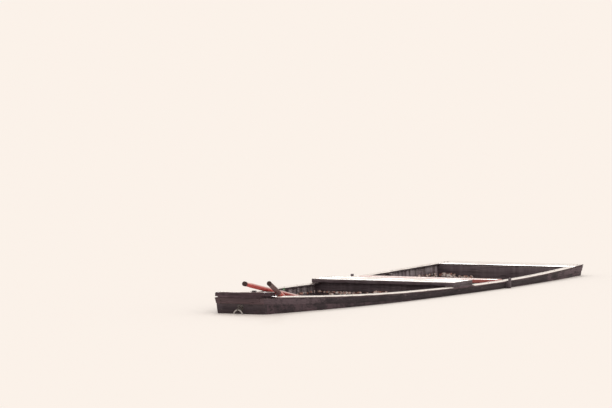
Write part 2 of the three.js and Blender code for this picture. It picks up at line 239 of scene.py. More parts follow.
def facing_up(add: Adder, start: float = 0.12, full: float = 0.5) -> Socket:
    """Gives 0 where the surface is upright and 1 where it faces up.

    Args:
        add: adds a node to the material.
        start: the height of the normal where the value starts to rise.
        full: the height of the normal where it is 1.

    Returns:
        The value.
    """
    height = add("SeparateXYZ", (add("NewGeometry", output="Normal"),), 2)
    return add("MapRange", (height, start, full, 0.0, 1.0), **SMOOTHLY)


def own_place(add: Adder) -> tuple[Socket, Socket]:
    """Gives the place on the object, shifted by the piece's own tone so that no two boards match.

    Args:
        add: adds a node to the material.

    Returns:
        The shifted place, and the tone.
    """
    tone = add("Attribute", output="Fac", attribute_name="tone")
    spread = add("CombineXYZ", (tone, tone, tone))
    # Metres apart, so that no mark comes back on the next board.
    apart = add("VectorMath", (spread, (17.0, 9.0, 5.0)), operation="MULTIPLY")
    return add("VectorMath", (add("TexCoord", output="Object"), apart), operation="ADD"), tone


@dataclass(frozen=True)
class SawnWood:
    """Sawn softwood under old tar.

    The eye gets fibres, drying cracks and patches that are rubbed paler, a greyer skin on the faces that look
    inboard, partly lightened as painted fill light, and a wet, bright upper face whose edges can carry a
    painted highlight.
    """

    name: str
    grain: Grain
    coat: str = "#473d43"
    coat_dark: str = "#362e33"
    rubbed: str = "#5b5057"
    # Partly the real greyer skin inboard, partly painted fill light for the shade inside the boat.
    inboard: str = "#6b6167"
    top: str = "#8d8480"
    arris: str = "#a39a96"
    crack: str = "#151010"
    worn: float = 0.3
    end_wear: float = 0.0
    end_wear_from: float = 1.7
    end_wear_full: float = 2.9
    runs: float = 0.5
    # A stretch along the boat, from amidships, where a painted shadow of the platform keeps the upper faces
    # dark.
    trampled: tuple[float, float] | None = None
    wet: float = 0.6
    roughness: float = 0.72
    wet_roughness: float = 0.13
    film: float = 0.0
    film_roughness: float = 0.06
    specular: float = 0.2

    def material(self) -> bpy.types.Material:
        """Builds the finish.

        Returns:
            The material.
        """
        material, add = new_material(self.name)
        place, tone = own_place(add)
        along = add("SeparateXYZ", (add("TexCoord", output="Object"),))
        # Fibres 7 mm wide, drawn twice as coarse as the real ones so that they show.
        fibre = marks(add, place, self.grain.scale(0.007, 0.3), 5.0, 0.25)
        # Growth bands of 22 mm, and drying cracks where a pattern of 20 mm crosses its middle.
        growth = marks(add, place, self.grain.scale(0.022, 0.8), 3.0, 0.4)
        split = marks(add, place, self.grain.scale(0.02, 0.9), 2.0, 0.1)
        off_split = add("Math", (add("Math", (split, 0.5), operation="SUBTRACT"),), operation="ABSOLUTE")
        crack = add("MapRange", (off_split, 0.0, 0.018, 1.0, 0.0), **SMOOTHLY)
        bare = self._bare(add, place, fibre, along)
        banded = add("MapRange", (growth, 0.35, 0.65, 0.0, 1.0), **SMOOTHLY)
        colour = add("Mix", {0: banded, 6: linear(self.coat_dark), 7: linear(self.coat)}, **COLOURS)
        colour = add("Mix", {0: bare, 6: colour, 7: linear(self.rubbed)}, **COLOURS)
        colour = add("Mix", {0: self._inboard(add, place), 6: colour, 7: linear(self.inboard)}, **COLOURS)
        shade = add("MapRange", (tone, 0.0, 1.0, 0.84, 1.14), **SMOOTHLY)
        grey = add("CombineColor", (shade, shade, shade))
        colour = add("Mix", {0: 1.0, 6: colour, 7: grey}, **COLOURS, blend_type="MULTIPLY")
        up = self._wet_top(add, along)
        stained = add("MapRange", (fibre, 0.45, 0.8, 0.0, 0.35), **SMOOTHLY)
        bleached = add("Mix", {0: stained, 6: linear(self.top), 7: colour}, **COLOURS)
        # The edges lean by 10 degrees or more and take their own colour: on the trodden boards and caps a
        # near white that is a painted highlight of glare along them.
        flat = facing_up(add, 0.93, 0.985)
        bleached = add("Mix", {0: flat, 6: linear(self.arris), 7: bleached}, **COLOURS)
        colour = add("Mix", {0: up, 6: colour, 7: bleached}, **COLOURS)
        open_crack = add("Math", (crack, 0.7), operation="MULTIPLY")
        colour = add("Mix", {0: open_crack, 6: colour, 7: linear(self.crack)}, **COLOURS)
        dry = add("MapRange", (fibre, 0.3, 0.7, self.roughness - 0.1, self.roughness + 0.12), **SMOOTHLY)
        height = add("Math", (add("Math", (fibre, 0.5), operation="MULTIPLY"), crack), operation="SUBTRACT")
        relief = add("MapRange", (up, 0.0, 1.0, 0.6, 0.12), **SMOOTHLY)
        return shaded(material, {
            "Base Color": colour,
            "Roughness": add("Mix", {0: up, 2: dry, 3: self.wet_roughness}, data_type="FLOAT"),
            "Normal": add("Bump", {"Strength": relief, "Distance": 0.0012, "Height": height}),
            "Coat Weight": add("Math", (up, self.film), operation="MULTIPLY"),
            "Coat Roughness": self.film_roughness,
            "Specular IOR Level": self.specular,
        })

    def _bare(self, add: Adder, place: Socket, fibre: Socket, along: Socket) -> Socket:
        """Gives how far the tar is rubbed off.

        Args:
            add: adds a node to the material.
            place: the place on the piece, shifted by its tone.
            fibre: the pattern of the fibres.
            along: the place along the boat.

        Returns:
            The share of bare wood.
        """
        # Patches of 140 mm, and more of them towards both ends of the boat.
        patch = marks(add, place, [per_metre(0.14)] * 3, 4.0, 0.3)
        fibre_part = add("Math", (fibre, 0.6), operation="MULTIPLY")
        wear = add("Math", (patch, 0.7, fibre_part), operation="MULTIPLY_ADD")
        if self.end_wear:
            off_middle = add("Math", (along, AMIDSHIPS), operation="SUBTRACT")
            outward = add("Math", (off_middle,), operation="ABSOLUTE")
            limits = (self.end_wear_from, self.end_wear_full, 0.0, self.end_wear)
            wear = add("Math", (wear, add("MapRange", (outward, *limits), **SMOOTHLY)), operation="ADD")
        return add("MapRange", (wear, 0.93 - self.worn, 1.07 - self.worn, 0.0, 0.85), **SMOOTHLY)

    def _inboard(self, add: Adder, place: Socket) -> Socket:
        """Greys the faces that look inboard, where little tar was laid, in streaks where rain ran down, and
        lightens them as painted fill light against the shade inside the hull.

        Args:
            add: adds a node to the material.
            place: the place on the piece, shifted by its tone.

        Returns:
            The grey's share.
        """
        inside = add("Attribute", output="Fac", attribute_name="inboard")
        # Runs 45 mm wide down the height of a plank, broken up by patches of 330 mm.
        run = marks(add, place, Grain.UPRIGHT.scale(0.045, 0.6), 3.0, 0.2)
        patch = marks(add, place, [per_metre(0.33)] * 3, 2.0)
        run = add("Mix", {0: 0.3, 2: run, 3: patch}, data_type="FLOAT")
        share = add("MapRange", (run, 0.42, 0.62, 1 - self.runs, 1.0), **SMOOTHLY)
        # The lowest 60 mm above the waterline stay darker.
        height = add("SeparateXYZ", (add("TexCoord", output="Object"),), 2)
        above_wet = add("MapRange", (height, WATERLINE, WATERLINE + 0.06, 0.55, 1.0), **SMOOTHLY)
        share = add("Math", (share, above_wet), operation="MULTIPLY")
        return add("Math", (inside, share), operation="MULTIPLY")

    def _wet_top(self, add: Adder, along: Socket) -> Socket:
        """Gives how far an upper face takes its wet, pale top colour, apart from a stretch where a painted
        shadow keeps it dark.

        Args:
            add: adds a node to the material.
            along: the place along the boat.

        Returns:
            The share, from 0 to 1.
        """
        up = add("Math", (facing_up(add), self.wet), operation="MULTIPLY")
        if not self.trampled:
            return up
        # Inside the stretch the upper face keeps its dark side colour: a painted shadow of the platform.
        aft, fore = self.trampled
        middle, half, blur = AMIDSHIPS + (aft + fore) / 2, (fore - aft) / 2, 0.02
        off_middle = add("Math", (along, middle), operation="SUBTRACT")
        away = add("Math", (off_middle,), operation="ABSOLUTE")
        clear = add("MapRange", (away, half - blur, half + blur, 0.0, 1.0), **SMOOTHLY)
        return add("Math", (up, clear), operation="MULTIPLY")


@dataclass(frozen=True)
class RedOxidePaint:
    """Brushed red oxide paint on wood.

    The eye gets two reds in patches, brush marks, dark wood where the paint is rubbed off, a dark
    stretch where hands hold an oar, and a wet upper face, paled partly by the sun and partly as a painted
    highlight.
    """

    name: str
    paint: str = "#a84c48"
    fresh: str = "#bd5c54"
    wood: str = "#3a2927"
    worn: float = 0.2
    grain: Grain = Grain.ALONG
    grip: float = 0.0
    soiled: str = "#341012"
    soiled_length: float = 0.0
    top: str = "#e4cfc8"
    bleached: float = 0.0
    wet_roughness: float = 0.14
    film: float = 0.5
    film_roughness: float = 0.06
    specular: float = 0.3

    def material(self) -> bpy.types.Material:
        """Builds the finish.

        Returns:
            The material.
        """
        material, add = new_material(self.name)
        spot = add("TexCoord", output="Object")
        place = add("UVMap", uv_map="length") if self.grip else spot
        # Brush marks and fibres 5 mm wide and 160 mm long, drawn coarser than the real ones so that they
        # show, and patches of 90 mm.
        scale = (1 / 0.16, 1 / 0.005, 1.0) if self.grip else self.grain.scale(0.005, 0.16)
        fibre = marks(add, place, scale, 4.0, 0.2)
        patch = marks(add, spot, [per_metre(0.09)] * 3, 5.0, 0.6)
        fibre_part = add("Math", (fibre, 0.5), operation="MULTIPLY")
        wear = add("Math", (patch, 0.8, fibre_part), operation="MULTIPLY_ADD")
        newer = add("MapRange", (patch, 0.35, 0.65, 0.0, 1.0), **SMOOTHLY)
        colour = add("Mix", {0: newer, 6: linear(self.paint), 7: linear(self.fresh)}, **COLOURS)
        wet = facing_up(add)
        if self.grip:
            distance = add("SeparateXYZ", (place,))
            end = add("MapRange", (distance, self.grip * 0.8, self.grip * 1.1, 1.0, 0.0), **SMOOTHLY)
            wear = add("Math", (wear, end), operation="ADD")
            limits = (self.soiled_length * 0.94, self.soiled_length * 1.06, 0.94, 0.0)
            soiled = add("MapRange", (distance, *limits), **SMOOTHLY)
            colour = add("Mix", {0: soiled, 6: colour, 7: linear(self.soiled)}, **COLOURS)
            held = add("Math", (soiled, end), operation="MAXIMUM")
            clean = add("Math", (1.0, held), operation="SUBTRACT")
            wet = add("Math", (wet, clean), operation="MULTIPLY")
        bare = add("MapRange", (wear, 0.98 - self.worn, 1.06 - self.worn, 0.0, 1.0), **SMOOTHLY)
        colour = add("Mix", {0: bare, 6: colour, 7: linear(self.wood)}, **COLOURS)
        # The pale pink on upper faces is partly sun bleaching and partly a painted highlight.
        pale = add("Math", (wet, self.bleached), operation="MULTIPLY")
        worn_in = add("Math", (bare, 0.4), operation="MULTIPLY")
        raised = add("Math", (fibre, 0.25), operation="MULTIPLY")
        height = add("Math", (raised, worn_in), operation="SUBTRACT")
        dry = add("MapRange", (bare, 0.0, 1.0, 0.45, 0.75), **SMOOTHLY)
        return shaded(material, {
            "Base Color": add("Mix", {0: pale, 6: colour, 7: linear(self.top)}, **COLOURS),
            "Roughness": add("Mix", {0: wet, 2: dry, 3: self.wet_roughness}, data_type="FLOAT"),
            "Normal": add("Bump", {"Strength": 0.3, "Distance": 0.0008, "Height": height}),
            "Coat Weight": add("Math", (wet, self.film), operation="MULTIPLY"),
            "Coat Roughness": self.film_roughness,
            "Specular IOR Level": self.specular,
        })


@dataclass(frozen=True)
class DippedIron:
    """Iron, hot-dipped in zinc or bare from the forge.

    The eye gets a dull grey with a faint spangle, and matt rust in spots where the skin has gone.
    """

    name: str
    zinc: str = "#c9c6c4"
    spangle: str = "#8e8c8b"
    rust: str = "#4a3028"
    rusted: float = 0.2
    metallic: float = 0.5

    def material(self) -> bpy.types.Material:
        """Builds the finish.

        Returns:
            The material.
        """
        material, add = new_material(self.name)
        place = add("TexCoord", output="Object")
        # Spangles of 3 mm and rust spots of 11 mm.
        cell = add("TexVoronoi", {"Vector": place, "Scale": per_metre(0.00303)}, "Distance")
        patch = marks(add, place, [per_metre(0.0111)] * 3, 5.0, 0.5)
        rusty = add("MapRange", (patch, 0.72 - self.rusted, 0.8 - self.rusted, 0.0, 1.0), **SMOOTHLY)
        glint = add("MapRange", (cell, 0.1, 0.6, 0.0, 0.3), **SMOOTHLY)
        dull = add("Mix", {0: glint, 6: linear(self.zinc), 7: linear(self.spangle)}, **COLOURS)
        return shaded(material, {
            "Base Color": add("Mix", {0: rusty, 6: dull, 7: linear(self.rust)}, **COLOURS),
            "Roughness": add("MapRange", (rusty, 0.0, 1.0, 0.4, 0.85), **SMOOTHLY),
            "Normal": add("Bump", {"Strength": 0.35, "Distance": 0.0006, "Height": patch}),
            "Metallic": self.metallic,
        })


@dataclass(frozen=True)
class Leaf:
    """Wet leaves: the eye gets one tone a leaf, mottled in 6 mm spots, with a soft wet shine."""

    name: str
    tones: tuple[str, ...]
    mottled: str = "#2a201c"
    roughness: float = 0.45

    def material(self) -> bpy.types.Material:
        """Builds the finish.

        Returns:
            The material.
        """
        material, add = new_material(self.name)
        place, tone = own_place(add)
        own_tone = add("ValToRGB", (tone,))
        ramp = own_tone.node.color_ramp
        ramp.interpolation = "CONSTANT"
        while len(ramp.elements) < len(self.tones):
            ramp.elements.new(0.5)
        for step, (element, colour) in enumerate(zip(ramp.elements, self.tones)):
            element.position = step / len(self.tones)
            element.color = linear(colour)
        mottle = marks(add, place, [per_metre(0.00625)] * 3, 4.0)
        spots = add("MapRange", (mottle, 0.45, 0.75, 0.0, 0.5), **SMOOTHLY)
        return shaded(material, {
            "Base Color": add("Mix", {0: spots, 6: own_tone, 7: linear(self.mottled)}, **COLOURS),
            "Normal": add("Bump", {"Strength": 0.4, "Distance": 0.0006, "Height": mottle}),
            "Roughness": self.roughness,
        })


@dataclass(frozen=True)
class MattFloor:
    """A plain pale floor: the eye gets one tone from edge to edge, with no shine."""

    name: str
    colour: str = "#efeeed"

    def material(self) -> bpy.types.Material:
        """Builds the finish.

        Returns:
            The material.
        """
        material, _add = new_material(self.name)
        inputs = {"Base Color": linear(self.colour), "Roughness": 1.0, "Specular IOR Level": 0.0}
        return shaded(material, inputs)


class Finishes:
    """Makes each finish once and hands it out."""

    def __init__(self) -> None:
        """Starts with nothing made."""
        self._made: dict[str, bpy.types.Material] = {}

    def of(self, finish: object) -> bpy.types.Material:
        """Gives a finish's material, built on first use.

        Args:
            finish: one of the finishes above.

        Returns:
            The material.
        """
        if finish.name not in self._made:
            self._made[finish.name] = finish.material()
        return self._made[finish.name]


FINISHES = Finishes()


def tarred(grain: Grain) -> SawnWood:
    """Gives sawn pine planking under old tar, with its fibres on the given axis."""
    # Tar that has dried for years: a matt brown black, with the fibres showing through it.
    return SawnWood(f"tarred_pine_{grain}", grain)


def transom_wood(level: Level) -> SawnWood:
    """Gives the end boards' tarred pine.

    Args:
        level: the board's.

    Returns:
        The finish.
    """
    # The upper board has dried to a wine brown, and the lower one, near the waterline, is still dark.
    if level is Level.UPPER:
        colours = {"coat": "#604e52", "coat_dark": "#504246", "rubbed": "#6a595e"}
        return SawnWood("dry_tarred_pine_athwart", Grain.ATHWART, **colours, worn=0.25)
    colours = {"coat": "#473e42", "coat_dark": "#3a3237", "rubbed": "#51484e"}
    return SawnWood("wet_tarred_pine_athwart", Grain.ATHWART, **colours, worn=0.25)


def wale_wood() -> SawnWood:
    """Gives the rubbing band's tarred pine."""
    # Quays have scraped it to a lilac grey, most of all near the ends; the lilac grey also lightens its
    # downward-leaning face as painted light.
    colours = {"coat": "#42383d", "coat_dark": "#352d32", "rubbed": "#6f5f66"}
    return SawnWood("scraped_pine_along", Grain.ALONG, **colours, worn=0.2, end_wear=0.3)


def side_wood() -> SawnWood:
    """Gives the strakes' pine, tarred outside only."""
    # Outside it is brown black, and inside it has bleached to a streaky lilac grey, made very light as
    # painted fill light for the shade inside the hull.
    colours = {"rubbed": "#66545b", "inboard": "#b9b0b8"}
    return SawnWood("tarred_pine_strake", Grain.ALONG, **colours, end_wear=0.09, runs=0.94)


def post_wood() -> SawnWood:
    """Gives the rowlock posts' tarred pine."""
    # Hands and oars keep it oiled: nearly black, with a dull shine on its head.
    colours = {"coat": "#3f333a", "coat_dark": "#2f262b", "rubbed": "#52434b", "top": "#6d5f66"}
    return SawnWood("tarred_pine_post", Grain.UPRIGHT, **colours, wet=0.4)


def stub_wood() -> SawnWood:
    """Gives the chock's tarred pine."""
    # Its worn top is as black as its sides, so that it reads as one dark lump.
    return SawnWood("tarred_pine_stub", Grain.ATHWART, top="#3a3035", arris="#3a3035")


def trodden(grain: Grain) -> SawnWood:
    """Gives boards of tarred pine that feet and rain have bared, with a painted highlight on their edges.

    Args:
        grain: the way that their fibres run.

    Returns:
        The finish.
    """
    # Their upper faces are grey and wet, and bright at a low angle, and their sides are still dark. The near
    # white of their rounded edges is a painted highlight.
    colours = {
        "coat": "#514045", "coat_dark": "#413439", "rubbed": "#63525a", "top": "#b3a8a0", "arris": "#fffbf8",
    }
    return SawnWood(f"trodden_pine_{grain}", grain, **colours, wet=1.0, film=1.0)


def cap_wood() -> SawnWood:
    """Gives the caps' bared pine."""
    # It shines like the decks, but a stretch beside the platform is painted black, as the platform's shadow
    # on it.
    return replace(trodden(Grain.ALONG), name="trodden_pine_cap", trampled=(-0.305, 0.115))


def bilge_wood(grain: Grain) -> SawnWood:
    """Gives the tarred pine of the bottom and its timbers."""
    # Wet always lies on it: dark all over, with a thin film that shines.
    name = f"bilge_tarred_pine_{grain}"
    return SawnWood(name, grain, top="#5d524d", arris="#6d625d", film=0.4)


def thwart_paint() -> RedOxidePaint:
    """Gives the thwart's brushed red oxide on pine."""
    # A faded rose red, its upper face paled partly by the sun and partly as a painted highlight.
    colours = {"paint": "#b06464", "fresh": "#bd6f6b", "bleached": 0.25}
    return RedOxidePaint("red_oxide_on_pine", **colours, worn=0.2, grain=Grain.ATHWART)


def oar_paint(side: Side) -> RedOxidePaint:
    """Gives an oar's brushed red oxide on ash.

    Args:
        side: the oar's.

    Returns:
        The finish.
    """
    # The starboard oar is red up to its bare end, and hands have blackened the port one for 0.77 m.
    if side is Side.STARBOARD:
        # Its upper face is paled a little: partly sun bleaching, partly a painted highlight.
        colours = {"paint": "#ae413e", "fresh": "#c4504a"}
        return RedOxidePaint("red_oxide_on_ash", **colours, worn=0.18, grip=0.03, bleached=0.2)
    colours = {"paint": "#be483e", "fresh": "#cc5849"}
    return RedOxidePaint("soiled_oxide_on_ash", **colours, worn=0.2, grip=0.03, soiled_length=0.765)


@contextmanager
def open_mesh(piece: bpy.types.Object) -> Iterator[None]:
    """Opens a piece in edit mode with nothing selected, and closes it again.

    Args:
        piece: the piece to work on.

    Yields:
        Nothing.
    """
    pick(piece)
    bpy.ops.object.mode_set(mode="EDIT")
    bpy.ops.mesh.select_all(action="DESELECT")
    yield
    bpy.ops.object.mode_set(mode="OBJECT")


def pick(*pieces: bpy.types.Object) -> None:
    """Selects objects and nothing else, and makes the first one active.

    Args:
        pieces: the objects.
    """
    bpy.ops.object.select_all(action="DESELECT")
    for piece in pieces:
        piece.select_set(True)
    bpy.context.view_layer.objects.active = pieces[0]


def choose(piece: bpy.types.Object, kind: Element, test: Callable[[object], bool]) -> None:
    """Selects the elements of an open piece that pass a test, and nothing else.

    Args:
        piece: the open piece.
        kind: the elements' kind.
        test: takes an element and says whether it is wanted.
    """
    bpy.ops.mesh.select_mode(type=kind.name)
    bpy.ops.mesh.select_all(action="DESELECT")
    mesh = bmesh.from_edit_mesh(piece.data)
    for element in getattr(mesh, kind.value):
        if test(element):
            element.select_set(True)
    mesh.select_flush_mode()
    bmesh.update_edit_mesh(piece.data)


def begun(name: str, scale: Sequence[float] = (1, 1, 1)) -> bpy.types.Object:
    """Takes up the primitive that was just added.

    Args:
        name: the piece's name.
        scale: how far it is stretched on each axis.

    Returns:
        The piece, with its place and its stretch in its mesh, so that the object sits at the origin.
    """
    piece = bpy.context.object
    piece.name = name
    piece.scale = scale
    piece.data.transform(piece.matrix_basis)
    piece.matrix_basis = Matrix.Identity(4)
    return piece


def smooth(piece: bpy.types.Object, degrees: float = 35.0) -> None:
    """Shades a piece smooth, apart from edges sharper than an angle."""
    pick(piece)
    bpy.ops.object.shade_smooth_by_angle(angle=math.radians(degrees))


def set_tone(piece: bpy.types.Object, tone: float) -> None:
    """Gives every point of a piece one tone, which its finish reads."""
    attribute = piece.data.attributes.new("tone", "FLOAT", "POINT")
    attribute.data.foreach_set("value", [tone] * len(piece.data.vertices))


def set_inboard(piece: bpy.types.Object, shell: bool) -> None:
    """Marks the faces that look into the boat.

    Args:
        piece: the board.
        shell: whether the board is part of the shell; one that isn't is inboard all over.
    """
    attribute = piece.data.attributes.new("inboard", "FLOAT", "FACE")
    middle = Vector((AMIDSHIPS, 0, ABOVE))
    for face in piece.data.polygons:
        inward = (middle - face.center).normalized()
        attribute.data[face.index].value = float(not shell or face.normal.dot(inward) > 0.15)


def hand_over(
    piece: bpy.types.Object, finish: object, replaced: Sequence[str] = (), body: Body = Body.HULL
) -> None:
    """Gives a finished piece its finish and its body, and hides the nodes that it stands for.

    Args:
        piece: the finished piece.
        finish: the finish that it gets.
        replaced: the nodes that it stands for.
        body: the body that it rides on.
    """
    piece.data.materials.clear()
    piece.data.materials.append(FINISHES.of(finish))
    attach(piece, body.value)
    if replaced:
        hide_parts(*replaced)
    LOG.info("%s: %d faces, %s", piece.name, len(piece.data.polygons), finish.name)


def joined(pieces: Sequence[bpy.types.Object], name: str) -> bpy.types.Object:
    """Joins objects into one piece.

    Args:
        pieces: the objects.
        name: the piece's name.

    Returns:
        The joined piece.
    """
    pick(*pieces)
    bpy.ops.object.join()
    pieces[0].name = name
    return pieces[0]


def placed_copies(
    pattern: bpy.types.Object, places: Sequence[Matrix], name: str, draw: random.Random
) -> bpy.types.Object:
    """Copies a small pattern piece to many places, each copy with its own mesh and tone, and joins them.

    Args:
        pattern: the piece at the origin, which is removed.
        places: a matrix for each copy.
        name: the joined piece's name.
        draw: the source of the tones.

    Returns:
        The joined piece.
    """
    copies = []
    for place in places:
        copy = bpy.data.objects.new(name, pattern.data.copy())
        copy.data.transform(place)
        bpy.context.scene.collection.objects.link(copy)
        set_tone(copy, draw.random())
        copies.append(copy)
    bpy.data.objects.remove(pattern)
    return joined(copies, name)


TREES: dict[str, BVHTree] = {}


def mesh_tree(mesh: bpy.types.Mesh) -> BVHTree:
    """Builds a search tree of a mesh's faces."""
    corners = [vertex.co for vertex in mesh.vertices]
    return BVHTree.FromPolygons(corners, [face.vertices for face in mesh.polygons])


def tree_of(node: str) -> BVHTree:
    """Gives the search tree of the board that stands for a node, or of the node until that is built.

    Args:
        node: the node's name.

    Returns:
        The tree.
    """
    if node not in TREES:
        TREES[node] = mesh_tree(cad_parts[node].data)
    return TREES[node]


def struck(nodes: Sequence[str], start: Vector, direction: Vector) -> tuple[Vector, Vector] | None:
    """Finds where a straight line first meets any of some nodes or the boards that stand for them.

    Args:
        nodes: the nodes' names.
        start: the line's start.
        direction: its direction.

    Returns:
        The point and the face's normal there, or nothing.
    """
    found = [tree_of(node).ray_cast(start, direction) for node in nodes]
    found = [row for row in found if row[0] is not None]
    return min(found, key=lambda row: row[3])[:2] if found else None


def is_upper_arris(edge: bmesh.types.BMEdge) -> bool:
    """Says whether an edge lies between a face that looks up and one that looks outboard.

    Args:
        edge: the edge.

    Returns:
        Whether it does.
    """
    faces = sorted(edge.link_faces, key=lambda face: face.normal.z)
    if len(faces) != 2 or faces[1].normal.z < 0.8:
        return False
    return faces[0].normal.y * edge.verts[0].co.y > 0 and abs(faces[0].normal.z) < 0.6


@dataclass(frozen=True)
class Sawing:
    """How a board is cut and how it has worn since, in metres.

    edge is the wear of its sharp edges, pitch the step at which it can warp, warp how far it does,
    rounded the wear of its outboard upper edge, crown how far its top is raised, and slope how far
    in from its edges it is raised in full.
    """

    edge: float = 0.0025
    pitch: float = 0.125
    warp: float = 0.0005
    rounded: float = 0.0
    crown: float = 0.0
    slope: float = 0.025


@dataclass
class Timberwork:
    """Boards that keep the form of their CAD node, with worn edges and a slight warp."""

    seed: int
    shell: bool = False

    def __post_init__(self) -> None:
        """Starts the source of tones and warps."""
        self.draw = random.Random(self.seed)

    def board(
        self, node: str, slot: Slot, finish: SawnWood | RedOxidePaint, sawing: Sawing = Sawing()
    ) -> None:
        """Builds one board from its node.

        Args:
            node: the CAD node that it stands for.
            slot: the record's material slot; not used.
            finish: its finish.
            sawing: its edges and its warp.
        """
        piece = bpy.data.objects.new(f"{node}_wood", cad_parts[node].data.copy())
        bpy.context.scene.collection.objects.link(piece)
        with open_mesh(piece):
            bpy.ops.mesh.customdata_custom_splitnormals_clear()
            bpy.ops.mesh.select_all(action="SELECT")
            bpy.ops.mesh.remove_doubles(threshold=0.00005)
            bpy.ops.mesh.dissolve_limited(angle_limit=math.radians(0.15))
            self._cut_across(node, finish.grain.value, sawing.pitch)
            if sawing.crown:
                choose(piece, Element.FACE, lambda face: face.normal.z > 0.9)
                bpy.ops.mesh.inset(thickness=sawing.slope, use_even_offset=True)
                bpy.ops.transform.translate(value=(0, 0, sawing.crown))
            if sawing.rounded:
                choose(piece, Element.EDGE, is_upper_arris)
                bpy.ops.mesh.bevel(offset=sawing.rounded, segments=4, affect="EDGES", clamp_overlap=True)
            bpy.ops.mesh.select_mode(type="EDGE")
            bpy.ops.mesh.select_all(action="DESELECT")
            bpy.ops.mesh.edges_select_sharp(sharpness=math.radians(30))
            bpy.ops.mesh.bevel(offset=sawing.edge, segments=2, affect="EDGES", clamp_overlap=True)
            bpy.ops.mesh.select_all(action="SELECT")
            bpy.ops.transform.vertex_random(offset=sawing.warp, seed=self.draw.randrange(1000))
        smooth(piece)
        TREES[node] = mesh_tree(piece.data)
        set_tone(piece, self.draw.random())
        set_inboard(piece, self.shell)
        hand_over(piece, finish, [node])

    def _cut_across(self, node: str, axis: int, pitch: float) -> None:
        """Cuts the open board across its fibres at even steps, so that it can warp.

        Args:
            node: the CAD node that it stands for.
            axis: the number of the fibres' axis.
            pitch: the step in metres.
        """
        low, high = (corner[axis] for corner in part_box(node))
        normal = Vector([float(place == axis) for place in range(3)])
        steps = round((high - low) / pitch)
        for step in range(1, steps):
            bpy.ops.mesh.select_all(action="SELECT")
            bpy.ops.mesh.bisect(plane_co=normal * (low + (high - low) * step / steps), plane_no=normal)


@dataclass
class Planking(Timberwork):
    """The tarred shell: bottom, strakes, wales, transoms and corner posts."""

    shell: bool = True
    rows: int = 4
    strake_saw: Sawing = Sawing(edge=0.003, warp=0.0008)
    wale_saw: Sawing = Sawing(edge=0.001)
    transom_saw: Sawing = Sawing(edge=0.003)

    def build(self) -> None:
        """Builds every plank of the shell."""
        for stretch in Stretch:
            for row in range(1, self.rows + 1):
                self.board(f"bottom_{stretch}_{row}", Slot.TARRED, bilge_wood(Grain.ALONG))
        for side in Side:
            for level in Level:
                self.board(f"strake_{level}_{side}", Slot.TARRED, side_wood(), self.strake_saw)
            self.board(f"wale_{side}", Slot.TARRED, wale_wood(), self.wale_saw)
        for end in End:
            for level in Level:
                self.board(f"{end}_transom_{level}", Slot.TARRED, transom_wood(level), self.transom_saw)
            for side in Side:
                self.board(f"{end}_corner_post_{side}", Slot.TARRED, tarred(Grain.UPRIGHT))


@dataclass
class RimAndDecks(Timberwork):
    """What closes the top of the sides and of both ends."""

    shell: bool = True
    cap_saw: Sawing = Sawing(edge=0.003, pitch=0.06, warp=0.0008, rounded=0.006, crown=0.007)
    cross_board_saw: Sawing = Sawing(edge=0.004, pitch=0.05, warp=0.0008)
    deck_saw: Sawing = Sawing(edge=0.003)
    chock_place: tuple[float, float] = (2.985, 0.125)
    chock_size: tuple[float, float, float] = (0.032, 0.038, 0.012)
    chock_tone: float = 0.3

    def build(self) -> None:
        """Builds the caps, the cross board, the deck and its beam."""
        for side in Side:
            self.board(f"rim_cap_{side}", Slot.WORN, cap_wood(), self.cap_saw)
        self.board("bow_cross_board", Slot.WORN, trodden(Grain.ATHWART), self.cross_board_saw)
        self.board("stern_deck", Slot.WORN, trodden(Grain.ATHWART), self.deck_saw)
        self.board("stern_deck_beam", Slot.TARRED, tarred(Grain.ATHWART))
        self._chock()

    def _chock(self) -> None:
        """Sets the worn stub of a chock on the cross board, with its top rubbed over."""
        x, y = self.chock_place
        height = self.chock_size[2]
        seat = struck(["bow_cross_board"], Vector((AMIDSHIPS + x, y, ABOVE)), DOWN)[0]
        bpy.ops.mesh.primitive_cube_add(size=1, location=seat + Vector((0, 0, height / 2)))
        stub = begun("bow_chock_wood", self.chock_size)
        with open_mesh(stub):
            choose(stub, Element.FACE, lambda face: face.normal.z > 0.9)
            bpy.ops.transform.resize(value=(0.7, 0.8, 1), center_override=seat)
            worn_from = seat.z + height * 0.8
            choose(stub, Element.EDGE, lambda edge: max(vertex.co.z for vertex in edge.verts) > worn_from)
            bpy.ops.mesh.bevel(offset=0.003, segments=2, affect="EDGES")
        smooth(stub)
        set_tone(stub, self.chock_tone)
        hand_over(stub, stub_wood())


@dataclass
class Framing(Timberwork):
    """Floor timbers with the knees that stand on some of them."""

    timbers: int = 6
    with_knees: tuple[int, ...] = (1, 3, 4, 5)
    timber_saw: Sawing = Sawing(edge=0.005)
    knee_saw: Sawing = Sawing(edge=0.004)

    def build(self) -> None:
        """Builds the floor timbers and the knees."""
        for number in range(1, self.timbers + 1):
            self.board(f"floor_timber_{number}", Slot.TARRED, bilge_wood(Grain.ATHWART), self.timber_saw)
        for number in self.with_knees:
            for side in Side:
                self.board(f"knee_{number}_{side}", Slot.TARRED, tarred(Grain.UPRIGHT), self.knee_saw)


@dataclass
class RowingPlatform(Timberwork):
    """The raised boards to row from, their bearers and the bulkhead under them."""

    boards: int = 3
    board_saw: Sawing = Sawing(edge=0.004, pitch=0.08, warp=0.001)

    def build(self) -> None:
        """Builds the boards, the bearers and the bulkhead."""
        for number in range(1, self.boards + 1):
            self.board(f"platform_board_{number}", Slot.WORN, trodden(Grain.ATHWART), self.board_saw)
        for side in Side:
            self.board(f"platform_bearer_{side}", Slot.TARRED, tarred(Grain.ALONG))
        for level in Level:
            self.board(f"bulkhead_{level}", Slot.TARRED, tarred(Grain.ATHWART))


